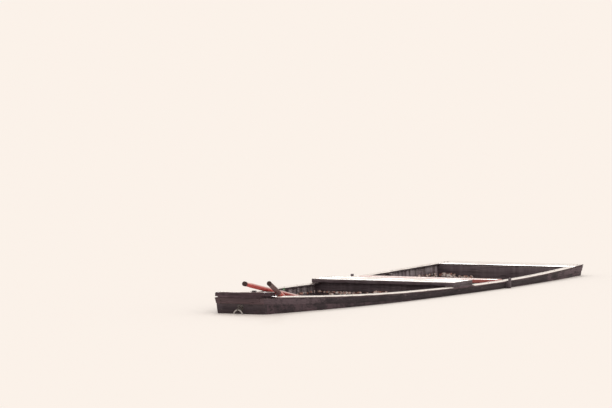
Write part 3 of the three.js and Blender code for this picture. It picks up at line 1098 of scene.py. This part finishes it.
@dataclass
class RowlockPosts(Timberwork):
    """Upright blocks outside the sides that the oars work against."""

    post_saw: Sawing = Sawing(edge=0.005, pitch=0.04)

    def build(self) -> None:
        """Builds both posts."""
        for side in Side:
            self.board(f"rowlock_post_{side}", Slot.TARRED, post_wood(), self.post_saw)


@dataclass
class AftThwart(Timberwork):
    """The red seat board at the rowlocks."""

    seat_saw: Sawing = Sawing(edge=0.004)

    def build(self) -> None:
        """Builds the board."""
        self.board("aft_thwart", Slot.RED, thwart_paint(), self.seat_saw)


@dataclass
class Oars:
    """Two oars stowed over the bow, each laid on the axis of its CAD node, with sizes in metres."""

    length: float = 2.84
    loom: float = 0.0195
    grip: float = 0.0175
    grip_length: float = 0.13
    blade_length: float = 0.7
    blade_half: float = 0.09
    blade_thick: float = 0.008
    neck_length: float = 0.12
    corners: int = 24

    def build(self) -> None:
        """Builds both oars."""
        for side in (Side.STARBOARD, Side.PORT):
            piece = self._shaped(f"oar_{side}_wood")
            self._lay_out(piece)
            piece.data.transform(self._axes(f"oar_{side}"))
            smooth(piece, 40)
            hand_over(piece, oar_paint(side), [f"oar_{side}"])

    def _shaped(self, name: str) -> bpy.types.Object:
        """Models an oar along x from the end of its blade.

        Args:
            name: the piece's name.

        Returns:
            The oar, at the origin.
        """
        neck = self.blade_length + self.neck_length
        shoulder = self.length - self.grip_length - 0.02
        bpy.ops.mesh.primitive_cylinder_add(
            vertices=self.corners, radius=self.loom, depth=shoulder - neck,
            location=((neck + shoulder) / 2, 0, 0), rotation=(0, math.pi / 2, 0),
        )
        piece = begun(name)
        half, thick = self.blade_half, self.blade_thick
        # Places from the blade's end, with the half breadth and the half thickness there.
        blade = [
            (self.blade_length, self.loom * 1.1, self.loom * 0.9),
            (0.93 * self.blade_length, half * 0.34, thick * 1.9),
            (0.85 * self.blade_length, half * 0.56, thick * 1.4),
            (0.62 * self.blade_length, half * 0.92, thick),
            (0.3 * self.blade_length, half * 0.99, thick),
            (0.025, half, thick),
            (0.006, half * 0.94, thick * 0.85),
            (0.0, half * 0.86, thick * 0.5),
        ]
        # Distances from the end, and the radius there as a share of the grip's, which swells to a knob.
        knob = ((0.05, 1.0), (0.035, 1.12), (0.006, 1.14), (0.001, 1.0), (0.0, 0.7))
        shares = ((self.grip_length, 1.0), *knob)
        grip = [(self.length - before, self.grip * share, self.grip * share) for before, share in shares]
        with open_mesh(piece):
            self._draw_out(piece, neck, blade)
            self._draw_out(piece, shoulder, grip)
            choose(piece, Element.FACE, lambda face: len(face.verts) > 4)
            bpy.ops.mesh.poke()
        return piece

    def _draw_out(
        self, piece: bpy.types.Object, start: float, sections: Sequence[tuple[float, float, float]]
    ) -> None:
        """Draws one end of the open oar out through its sections.

        Args:
            piece: the open oar.
            start: where the end face is.
            sections: each section's place, half breadth and half thickness.
        """
        def closes_end(face: bmesh.types.BMFace) -> bool:
            """Says whether a face is the disc that closes this end."""
            return len(face.verts) > 4 and abs(face.calc_center_median().x - start) < 0.0001

        choose(piece, Element.FACE, closes_end)
        before = (start, self.loom, self.loom)
        for section in sections:
            bpy.ops.mesh.extrude_region_move(TRANSFORM_OT_translate={"value": (section[0] - before[0], 0, 0)})
            ratio = (1, section[1] / before[1], section[2] / before[2])
            bpy.ops.transform.resize(value=ratio, center_override=(section[0], 0, 0))
            before = section

    def _lay_out(self, piece: bpy.types.Object) -> None:
        """Lays a map on the oar, in metres: from the grip's end along it, and round it.

        Args:
            piece: the oar, at the origin.
        """
        layer = piece.data.uv_layers[0]
        layer.name = "length"
        for loop in piece.data.loops:
            point = piece.data.vertices[loop.vertex_index].co
            around = math.atan2(point.z, point.y) * self.loom
            layer.data[loop.index].uv = (self.length - point.x, around)

    def _axes(self, node: str) -> Matrix:
        """Finds the frame of an oar's CAD node: along it, across its blade and through its blade.

        Args:
            node: the CAD node.

        Returns:
            The matrix that lays a new oar on it.
        """
        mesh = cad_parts[node].data
        points = np.array(sorted({tuple(round(value, 6) for value in vertex.co) for vertex in mesh.vertices}))
        middle = points.mean(axis=0)
        axes = np.linalg.svd(points - middle)[2]
        spread = (points - middle) @ axes.T
        breadths = [np.abs(spread[way * spread[:, 0] > 0, 1]).mean() for way in (1, -1)]
        # The blade is broader than the grip, and the oar runs from its blade to its grip.
        along = Vector(-axes[0] if breadths[0] > breadths[1] else axes[0])
        across = Vector(axes[1])
        start = Vector(middle) + along * float((np.array(along) @ (points - middle).T).min())
        turn = Matrix((along, across, along.cross(across))).transposed()
        return Matrix.Translation(start) @ turn.to_4x4()


@dataclass
class MooringIron:
    """The eye on the bow transom and the ring that swings in it, with sizes in metres."""

    ring_radius: float = 0.038
    ring_wire: float = 0.005
    loop_radius: float = 0.014
    loop_wire: float = 0.004
    plate: float = 0.05
    plate_thick: float = 0.005
    reach: float = 0.048
    shank: float = 0.005
    rake: float = 0.25
    screw: float = 0.0045

    def build(self) -> None:
        """Builds the ring and the eye."""
        self._ring()
        self._eye()

    def _ring(self) -> None:
        """Bends the ring from round bar, with the swelling of its weld at the foot."""
        low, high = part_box("mooring_ring")
        middle = (low + high) / 2
        bpy.ops.mesh.primitive_torus_add(
            major_radius=self.ring_radius, minor_radius=self.ring_wire,
            major_segments=64, minor_segments=16, location=middle, rotation=(0, math.pi / 2, 0),
        )
        ring = begun("mooring_ring_iron")
        with open_mesh(ring):
            foot = middle - Vector((0, 0, self.ring_radius))
            choose(ring, Element.VERT, lambda vertex: (vertex.co - foot).length < self.ring_wire * 1.9)
            bpy.ops.transform.resize(value=(1.16, 1.0, 1.16), center_override=foot)
        smooth(ring, 60)
        # Zinc that has dulled to a pale matt grey, with a few rust spots where the eye rubs it.
        finish = DippedIron("dull_galvanised_iron", rusted=0.12)
        hand_over(ring, finish, ["mooring_ring"], Body.RING)

    def _eye(self) -> None:
        """Makes the plate with its screws, the shank and the loop, turned to the rake of the bow."""
        eye = joined([self._plate(), self._shank(), self._loop(), *self._screws()], "mooring_eye_iron")
        low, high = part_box("mooring_eye")
        eye.data.transform(Matrix.Rotation(math.atan(self.rake), 4, "Y"))
        own_high_x = max(vertex.co.x for vertex in eye.data.vertices)
        heights = [vertex.co.z for vertex in eye.data.vertices]
        rise = (low.z + high.z) / 2 - (min(heights) + max(heights)) / 2
        eye.data.transform(Matrix.Translation((high.x - own_high_x, 0, rise)))
        smooth(eye)
        # Iron tarred over with the transom: nearly black, with brown rust coming through.
        finish = DippedIron("tarred_over_iron", zinc="#4c4747", rust="#3b2c28", rusted=0.25, metallic=0.3)
        hand_over(eye, finish, ["mooring_eye"])

    def _plate(self) -> bpy.types.Object:
        """Forges the square plate, its edges rounded over.

        Returns:
            The plate.
        """
        bpy.ops.mesh.primitive_cube_add(size=1, location=(self.plate_thick / 2, 0, 0))
        plate = begun("plate", (self.plate_thick, self.plate, self.plate))
        with open_mesh(plate):
            choose(plate, Element.EDGE, lambda edge: abs(edge.verts[0].co.x - edge.verts[1].co.x) > 1e-4)
            bpy.ops.mesh.bevel(offset=0.006, segments=4, affect="EDGES")
            front = self.plate_thick * 0.9
            choose(plate, Element.EDGE, lambda edge: min(vertex.co.x for vertex in edge.verts) > front)
            bpy.ops.mesh.bevel(offset=0.0012, segments=2, affect="EDGES")
        return plate

    def _shank(self) -> bpy.types.Object:
        """Turns the shank with a collar where it enters the plate.

        Returns:
            The shank.
        """
        length = self.plate_thick + self.reach - self.loop_radius
        bpy.ops.mesh.primitive_cylinder_add(
            vertices=20, radius=self.shank, depth=length,
            location=(length / 2 + 0.001, 0, 0), rotation=(0, math.pi / 2, 0),
        )
        shank = begun("shank")
        with open_mesh(shank):
            bpy.ops.mesh.select_all(action="SELECT")
            bpy.ops.mesh.bisect(plane_co=(self.plate_thick * 1.8, 0, 0), plane_no=(1, 0, 0))
            choose(shank, Element.VERT, lambda vertex: vertex.co.x < self.plate_thick)
            bpy.ops.transform.resize(value=(1, 1.6, 1.6), center_override=(0, 0, 0))
        return shank

    def _loop(self) -> bpy.types.Object:
        """Bends the loop that the ring hangs in."""
        bpy.ops.mesh.primitive_torus_add(
            major_radius=self.loop_radius, minor_radius=self.loop_wire, major_segments=40, minor_segments=14,
            location=(self.plate_thick + self.reach, 0, 0), rotation=(math.pi / 2, 0, 0),
        )
        return begun("loop")

    def _screws(self) -> list[bpy.types.Object]:
        """Sets a domed screw head in each corner of the plate.

        Returns:
            The four heads.
        """
        heads = []
        corner = self.plate * 0.34
        for across in (-corner, corner):
            for up in (-corner, corner):
                place = (self.plate_thick, across, up)
                bpy.ops.mesh.primitive_uv_sphere_add(
                    segments=12, ring_count=6, radius=self.screw, location=place
                )
                heads.append(begun("screw_head", (0.45, 1, 1)))
        return heads


@dataclass
class Nails:
    """Forged nail heads in rows over the frames, along the caps and on the boards across the boat.

    Sizes are in metres, and the heads are drawn twice as wide as real ones, so that they show. frames
    are places along the boat from amidships, and shares are heights on a plank.
    """

    seed: int
    radius: float = 0.0055
    rise: float = 0.0016
    cross_board_inset: float = 0.042
    board_inset: float = 0.05
    post_inset: float = 0.05
    cap_pitch: float = 0.16
    cap_insets: tuple[float, float] = (0.042, 0.018)
    cap_foot: float = 0.335
    sizes: tuple[float, float] = (0.85, 1.15)
    error: float = 0.008
    frames: tuple[float, ...] = (2.25, 1.59, 0.93, 0.033, -1.0, -1.65, -2.3)
    strake_shares: tuple[float, ...] = (0.2, 0.72)
    transom_shares: tuple[float, ...] = (0.2, 0.5, 0.8)
    places: list[Matrix] = field(default_factory=list)

    def __post_init__(self) -> None:
        """Starts the source of tones and small errors."""
        self.draw = random.Random(self.seed)

    def build(self) -> None:
        """Drives every nail, and joins them into one piece."""
        self._side_rows()
        self._cap_rows()
        self._board_rows()
        self._transom_rows()
        nails = placed_copies(self._head(), self.places, "forged_nails", self.draw)
        smooth(nails)
        # Bare iron gone dark: a dull black brown, more rust than metal.
        finish = DippedIron("forged_iron_rusted", zinc="#3d3535", rust="#3a2621", rusted=0.3)
        hand_over(nails, finish)

    def _head(self) -> bpy.types.Object:
        """Forges one nail head, facing z.

        Returns:
            The head, at the origin.
        """
        bpy.ops.mesh.primitive_cylinder_add(
            vertices=8, radius=self.radius, depth=self.rise, location=(0, 0, 0)
        )
        head = begun("nail_head")
        with open_mesh(head):
            choose(head, Element.FACE, lambda face: face.normal.z > 0.9)
            bpy.ops.transform.resize(value=(0.6, 0.6, 1), center_override=(0, 0, 0))
            bpy.ops.transform.translate(value=(0, 0, self.rise * 0.3))
        return head

    def _drive(self, node: str, start: Vector, direction: Vector) -> None:
        """Drives one nail where a line meets the wood.

        Args:
            node: the node that the wood stands for.
            start: the line's start.
            direction: its direction.
        """
        found = struck([node], start, direction)
        if found:
            point, normal = found
            turn = normal.to_track_quat("Z", "Y").to_matrix().to_4x4()
            size = Matrix.Scale(self.draw.uniform(*self.sizes), 4)
            self.places.append(Matrix.Translation(point) @ turn @ size)

    def _side_rows(self) -> None:
        """Drives two nails through each strake into every frame."""
        for side in Side:
            way = side.value
            for place in self.frames:
                for level in Level:
                    node = f"strake_{level}_{side}"
                    low, high = self._span(node, AMIDSHIPS + place, way)
                    for share in self.strake_shares:
                        x = AMIDSHIPS + place + self.draw.uniform(-self.error, self.error)
                        height = low + (high - low) * share
                        self._drive(node, Vector((x, OUTSIDE * way, height)), Vector((0, -way, 0)))

    def _span(self, node: str, x: float, way: int) -> tuple[float, float]:
        """Finds the lowest and highest point of a strake's outer face at one place along the boat.

        Args:
            node: the strake's node.
            x: the place.
            way: 1 to port or -1 to starboard.

        Returns:
            The two heights, to 4 mm.
        """
        heights = [step * 0.004 for step in range(3, 110)]
        inward = Vector((0, -way, 0))
        hit = [z for z in heights if struck([node], Vector((x, OUTSIDE * way, z)), inward)]
        return min(hit), max(hit)

    def _cap_rows(self) -> None:
        """Drives nails down through the caps, in two staggered lines."""
        for side in Side:
            way = side.value
            node = f"rim_cap_{side}"
            low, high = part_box(node)
            steps = round((high.x - low.x) / self.cap_pitch)
            for step in range(1, steps):
                x = low.x + (high.x - low.x) * step / steps
                y = self._cap_edge(node, x, way) - way * self.cap_insets[step % 2]
                self._drive(node, Vector((x, y, ABOVE)), DOWN)

    def _cap_edge(self, node: str, x: float, way: int) -> float:
        """Finds the outer edge of a cap at one place along the boat, from its lowest height upwards.

        Args:
            node: the cap's node.
            x: the place.
            way: 1 to port or -1 to starboard.

        Returns:
            The edge's place across the boat.
        """
        height = self.cap_foot
        while not (found := struck([node], Vector((x, OUTSIDE * way, height)), Vector((0, -way, 0)))):
            height += 0.001
        return found[0].y

    def _board_rows(self) -> None:
        """Drives nails down through the ends of the boards that lie across the boat."""
        counts = {f"platform_board_{number}": 2 for number in range(1, RowingPlatform.boards + 1)}
        counts |= {"bow_cross_board": 2, "stern_deck": 3}
        for node, count in counts.items():
            low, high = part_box(node)
            inset = self.cross_board_inset if node == "bow_cross_board" else self.board_inset
            for y in (high.y - inset, low.y + inset):
                for number in range(1, count + 1):
                    x = low.x + (high.x - low.x) * number / (count + 1)
                    self._drive(node, Vector((x, y, ABOVE)), DOWN)

    def _transom_rows(self) -> None:
        """Drives nails through the transom boards into the corner posts."""
        for end in End:
            way = end.value
            for level in Level:
                node = f"{end}_transom_{level}"
                low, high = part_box(node)
                for side in Side:
                    for share in self.transom_shares:
                        height = low.z + (high.z - low.z) * share
                        start = Vector((OFF_END * way, side.value * (high.y - self.post_inset), height))
                        self._drive(node, start, Vector((-way, 0, 0)))


@dataclass(frozen=True)
class Cling:
    """Where leaves cling to an upright face.

    nodes are the faces, towards the way they are met, low and high the stretch along the boat and
    across it and the band of heights, and count how many leaves are tried.
    """

    nodes: tuple[str, ...]
    towards: tuple[float, float, float]
    low: tuple[float, float, float]
    high: tuple[float, float, float]
    count: int


AFT, TO_PORT, TO_STARBOARD = (-1, 0, 0), (0, 1, 0), (0, -1, 0)
BULKHEAD = ("bulkhead_upper", "bulkhead_lower")
DECK_BEAM = ("stern_deck_beam",)
PORT = ("strake_lower_port", "strake_upper_port")
STARBOARD = ("strake_lower_starboard", "strake_upper_starboard")
CLINGS = (
    Cling(BULKHEAD, AFT, (0.4, -0.62, 0.281), (0.4, -0.53, 0.288), 20),
    Cling(BULKHEAD, AFT, (0.4, -0.53, 0.262), (0.4, -0.34, 0.284), 45),
    Cling(BULKHEAD, AFT, (0.4, -0.34, 0.272), (0.4, -0.10, 0.284), 26),
    Cling(BULKHEAD, AFT, (0.4, -0.10, 0.284), (0.4, 0.12, 0.296), 24),
    Cling(STARBOARD, TO_STARBOARD, (0.07, 0, 0.280), (0.5, 0, 0.288), 32),
    Cling(DECK_BEAM, AFT, (-2.4, -0.62, 0.262), (-2.4, -0.47, 0.290), 80),
    Cling(DECK_BEAM, AFT, (-2.4, -0.47, 0.245), (-2.4, -0.30, 0.270), 60),
    Cling(STARBOARD, TO_STARBOARD, (-2.66, 0, 0.262), (-2.3, 0, 0.290), 60),
    Cling(STARBOARD, TO_STARBOARD, (-2.3, 0, 0.27), (2.4, 0, 0.288), 70),
    Cling(PORT, TO_PORT, (-2.6, 0, 0.265), (2.2, 0, 0.288), 60),
)


@dataclass
class LeafLitter:
    """Wet dead leaves, clinging in a line round the inside and loose on the bottom."""

    seed: int
    leaf_length: float = 0.026
    leaf_breadth: float = 0.55
    leaf_thick: float = 0.0006
    sizes: tuple[float, float] = (0.6, 1.3)
    loose: int = 190
    loose_length: tuple[float, float] = (-2.65, 2.6)
    loose_middle: float = -0.1
    loose_spread: float = 0.3
    bottom_half: float = 0.5
    green_place: float = 0.89
    green_drop: float = 0.013
    green_size: float = 1.9

    def __post_init__(self) -> None:
        """Starts the source of places, sizes and tones."""
        self.draw = random.Random(self.seed)

    def build(self) -> None:
        """Builds the dead leaves, and one green one on the rim."""
        places = [place for cling in CLINGS for place in self._clinging(cling)]
        shiny = placed_copies(self._leaf(), places, "clinging_leaves", self.draw)
        # Leaves from black brown to nearly white along the line; the nearly white ones are painted glints.
        pale = Leaf("wet_bleached_leaf", ("#2e2325", "#6b453f", "#c9978a", "#f0d9d1", "#fff3ef", "#fff9f7"))
        hand_over(shiny, pale)
        sodden = placed_copies(self._leaf(), self._on_bottom(), "bottom_leaves", self.draw)
        # Leaves that have lain in the wet: browns, few of them pale.
        brown = Leaf("sodden_brown_leaf", ("#33251f", "#4f382b", "#6b4a37", "#7d5b43", "#957254", "#b39a7f"))
        hand_over(sodden, brown)
        green = placed_copies(self._leaf(), [self._on_rim()], "green_leaf", self.draw)
        # A leaf just fallen: the one cool green spot on the boat.
        hand_over(green, Leaf("fresh_green_leaf", ("#3f7a4e", "#4f8c5a"), "#27543a"))

    def _on_rim(self) -> Matrix:
        """Finds the green leaf's place, hanging from the inner edge of the starboard cap.

        Returns:
            Its matrix.
        """
        x = AMIDSHIPS + self.green_place
        cap = ["rim_cap_starboard"]
        tops = [struck(cap, Vector((x, -0.02 * step, ABOVE)), DOWN) for step in range(20, 40)]
        height = max(row[0].z for row in tops if row) - self.green_drop
        rim = struck(cap, Vector((x, 0, height)), Vector(TO_STARBOARD))[0]
        hang = Matrix.Rotation(math.radians(-78), 4, "X") @ Matrix.Rotation(0.35, 4, "Z")
        return Matrix.Translation(rim + Vector((0, 0.006, -0.006))) @ hang @ Matrix.Scale(self.green_size, 4)

    def _clinging(self, cling: Cling) -> list[Matrix]:
        """Finds places for leaves on an upright face.

        Args:
            cling: where they cling.

        Returns:
            A matrix for each leaf.
        """
        places = []
        for _leaf in range(cling.count):
            x, y, z = (self.draw.uniform(low, high) for low, high in zip(cling.low, cling.high))
            found = struck(cling.nodes, Vector((AMIDSHIPS + x, y, z)), Vector(cling.towards))
            if found:
                lift = self.draw.uniform(0.0015, 0.006)
                turn = self.draw.uniform(-0.4, 0.4)
                places.append(self._laid(found[0] + found[1] * lift, found[1], 0.15, turn))
        return places

    def _on_bottom(self) -> list[Matrix]:
        """Finds places for loose leaves on the bottom planks and the floor timbers.

        Returns:
            A matrix for each leaf.
        """
        under = [f"bottom_{stretch}_{row}" for stretch in Stretch for row in range(1, Planking.rows + 1)]
        under += [f"floor_timber_{number}" for number in range(1, Framing.timbers + 1)]
        places = []
        while len(places) < self.loose:
            x = AMIDSHIPS + self.draw.uniform(*self.loose_length)
            y = self.draw.gauss(self.loose_middle, self.loose_spread)
            found = struck(under, Vector((x, y, WATERLINE - 0.005)), DOWN)
            if found and abs(y) < self.bottom_half and found[0].z > 0.02:
                turn = self.draw.uniform(0, 2 * math.pi)
                places.append(self._laid(found[0] + Vector((0, 0, 0.003)), found[1], 0.2, turn))
        return places

    def _laid(self, point: Vector, normal: Vector, tilt: float, turn: float) -> Matrix:
        """Lays a leaf on a surface, with a random tilt and size.

        Args:
            point: where it lies.
            normal: the surface's normal there.
            tilt: how far it leans from it.
            turn: its angle about it.

        Returns:
            Its matrix.
        """
        lean = Vector([self.draw.gauss(0, tilt) for _axis in range(3)])
        lie = (normal + lean).to_track_quat("Z", "Y").to_matrix().to_4x4()
        size = Matrix.Scale(self.draw.uniform(*self.sizes), 4)
        return Matrix.Translation(point) @ lie @ Matrix.Rotation(turn, 4, "Z") @ size

    def _leaf(self) -> bpy.types.Object:
        """Shapes one curled leaf with a pointed tip and a thin closed body.

        Returns:
            The leaf at the origin.
        """
        bpy.ops.mesh.primitive_circle_add(vertices=8, radius=self.leaf_length / 2, fill_type="TRIFAN")
        leaf = begun("leaf")
        for vertex in leaf.data.vertices:
            x, y = vertex.co.x, vertex.co.y * self.leaf_breadth
            vertex.co = (x, y, 0.25 * abs(y) + 4.0 * x * x)
        with open_mesh(leaf):
            bpy.ops.mesh.select_all(action="SELECT")
            bpy.ops.mesh.extrude_region_move(TRANSFORM_OT_translate={"value": (0, 0, -self.leaf_thick)})
            bpy.ops.mesh.select_all(action="SELECT")
            bpy.ops.mesh.normals_make_consistent(inside=False)
        return leaf


@dataclass(frozen=True)
class Lens:
    """The camera's place in metres from amidships at the bottom, the way it looks, and its focal length."""

    place: tuple[float, float, float] = (42.951, 18.525, 3.285)
    look: tuple[float, float, float] = (-0.9113, -0.4090, -0.04766)
    focal: float = 318.57
    sensor: float = 36.0
    reach: float = 2000.0


@dataclass
class Studio:
    """The pale floor at the waterline, the soft light and the camera."""

    lens: Lens = Lens()
    spread: tuple[float, float] = (170.0, 800.0)
    inset: float = 0.012
    steps: int = 48
    off_ends: float = 0.04
    off_middle: float = 0.2
    sky: str = "#fcf2e9"
    sky_strength: float = 1.0
    sun_strength: float = 0.85
    sun_angle: float = 24.0
    sun_from: tuple[float, float, float] = (-0.78, -0.36, 0.56)

    def build(self) -> None:
        """Sets the studio up."""
        self._floor()
        self._light()
        self._camera()
        bpy.context.scene.view_settings.view_transform = "Standard"

    def _floor(self) -> None:
        """Spreads the floor at the waterline, open inside the hull's outline."""
        outline = self._outline()
        bpy.ops.mesh.primitive_circle_add(vertices=len(outline), radius=1, fill_type="NOTHING")
        floor = begun("pale_floor")
        for vertex, point in zip(floor.data.vertices, outline):
            vertex.co = point
        with open_mesh(floor):
            bpy.ops.mesh.select_all(action="SELECT")
            bpy.ops.mesh.extrude_region_move()
            bpy.ops.transform.resize(value=(*self.spread, 1), center_override=(AMIDSHIPS, 0, WATERLINE))
            bpy.ops.mesh.select_all(action="SELECT")
            if floor.data.polygons and floor.data.polygons[0].normal.z < 0:
                bpy.ops.mesh.flip_normals()
        floor.data.materials.append(FINISHES.of(MattFloor("matt_floor")))

    def _outline(self) -> list[Vector]:
        """Walks round the hull at the waterline, halfway into the planks.

        Returns:
            The points, in order round the boat.
        """
        aft, fore = self._end(End.STERN), self._end(End.BOW)
        half = []
        for step in range(self.steps + 1):
            x = aft + self.inset + (fore - aft - 2 * self.inset) * step / self.steps
            probe = min(max(x, aft + self.off_ends), fore - self.off_ends)
            side = struck(PORT, Vector((probe, OUTSIDE, WATERLINE)), Vector(TO_STARBOARD))[0].y
            half.append(Vector((x, side - self.inset, WATERLINE)))
        return half + [Vector((point.x, -point.y, point.z)) for point in reversed(half)]

    def _end(self, end: End) -> float:
        """Finds where a transom's outer face crosses the waterline.

        Args:
            end: the boat's end.

        Returns:
            The place along the boat.
        """
        boards = [f"{end}_transom_{level}" for level in Level]
        start = Vector((OFF_END * end.value, self.off_middle, WATERLINE))
        return struck(boards, start, Vector((-end.value, 0, 0)))[0].x

    def _light(self) -> None:
        """Lights the boat from a pale sky and a broad soft sun behind it."""
        world = bpy.data.worlds.new("pale_sky")
        bpy.context.scene.world = world
        world.use_nodes = True
        sky = world.node_tree.nodes["Background"]
        sky.inputs["Color"].default_value = linear(self.sky)
        sky.inputs["Strength"].default_value = self.sky_strength
        lamp = bpy.data.lights.new("soft_sun", "SUN")
        lamp.energy = self.sun_strength
        lamp.angle = math.radians(self.sun_angle)
        sun = bpy.data.objects.new("soft_sun", lamp)
        sun.rotation_euler = Vector(self.sun_from).to_track_quat("Z", "Y").to_euler()
        bpy.context.scene.collection.objects.link(sun)

    def _camera(self) -> None:
        """Sets the camera at the photograph's viewpoint."""
        data = bpy.data.cameras.new("camera")
        data.lens = self.lens.focal
        data.sensor_width = self.lens.sensor
        data.clip_end = self.lens.reach
        camera = bpy.data.objects.new("camera", data)
        camera.location = Vector(self.lens.place) + Vector((AMIDSHIPS, 0, 0))
        camera.rotation_euler = Vector(self.lens.look).to_track_quat("-Z", "Y").to_euler()
        bpy.context.scene.collection.objects.link(camera)
        bpy.context.scene.camera = camera


def main() -> None:
    """Sets up the studio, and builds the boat's sub-assemblies in order."""
    logging.basicConfig(level=logging.INFO, format="%(name)s %(message)s")
    Studio().build()
    Planking(seed=1).build()
    RimAndDecks(seed=2).build()
    Framing(seed=3).build()
    RowingPlatform(seed=4).build()
    RowlockPosts(seed=5).build()
    AftThwart(seed=6).build()
    Oars().build()
    MooringIron().build()
    Nails(seed=7).build()
    LeafLitter(seed=8).build()


if __name__ == "__main__":
    main()
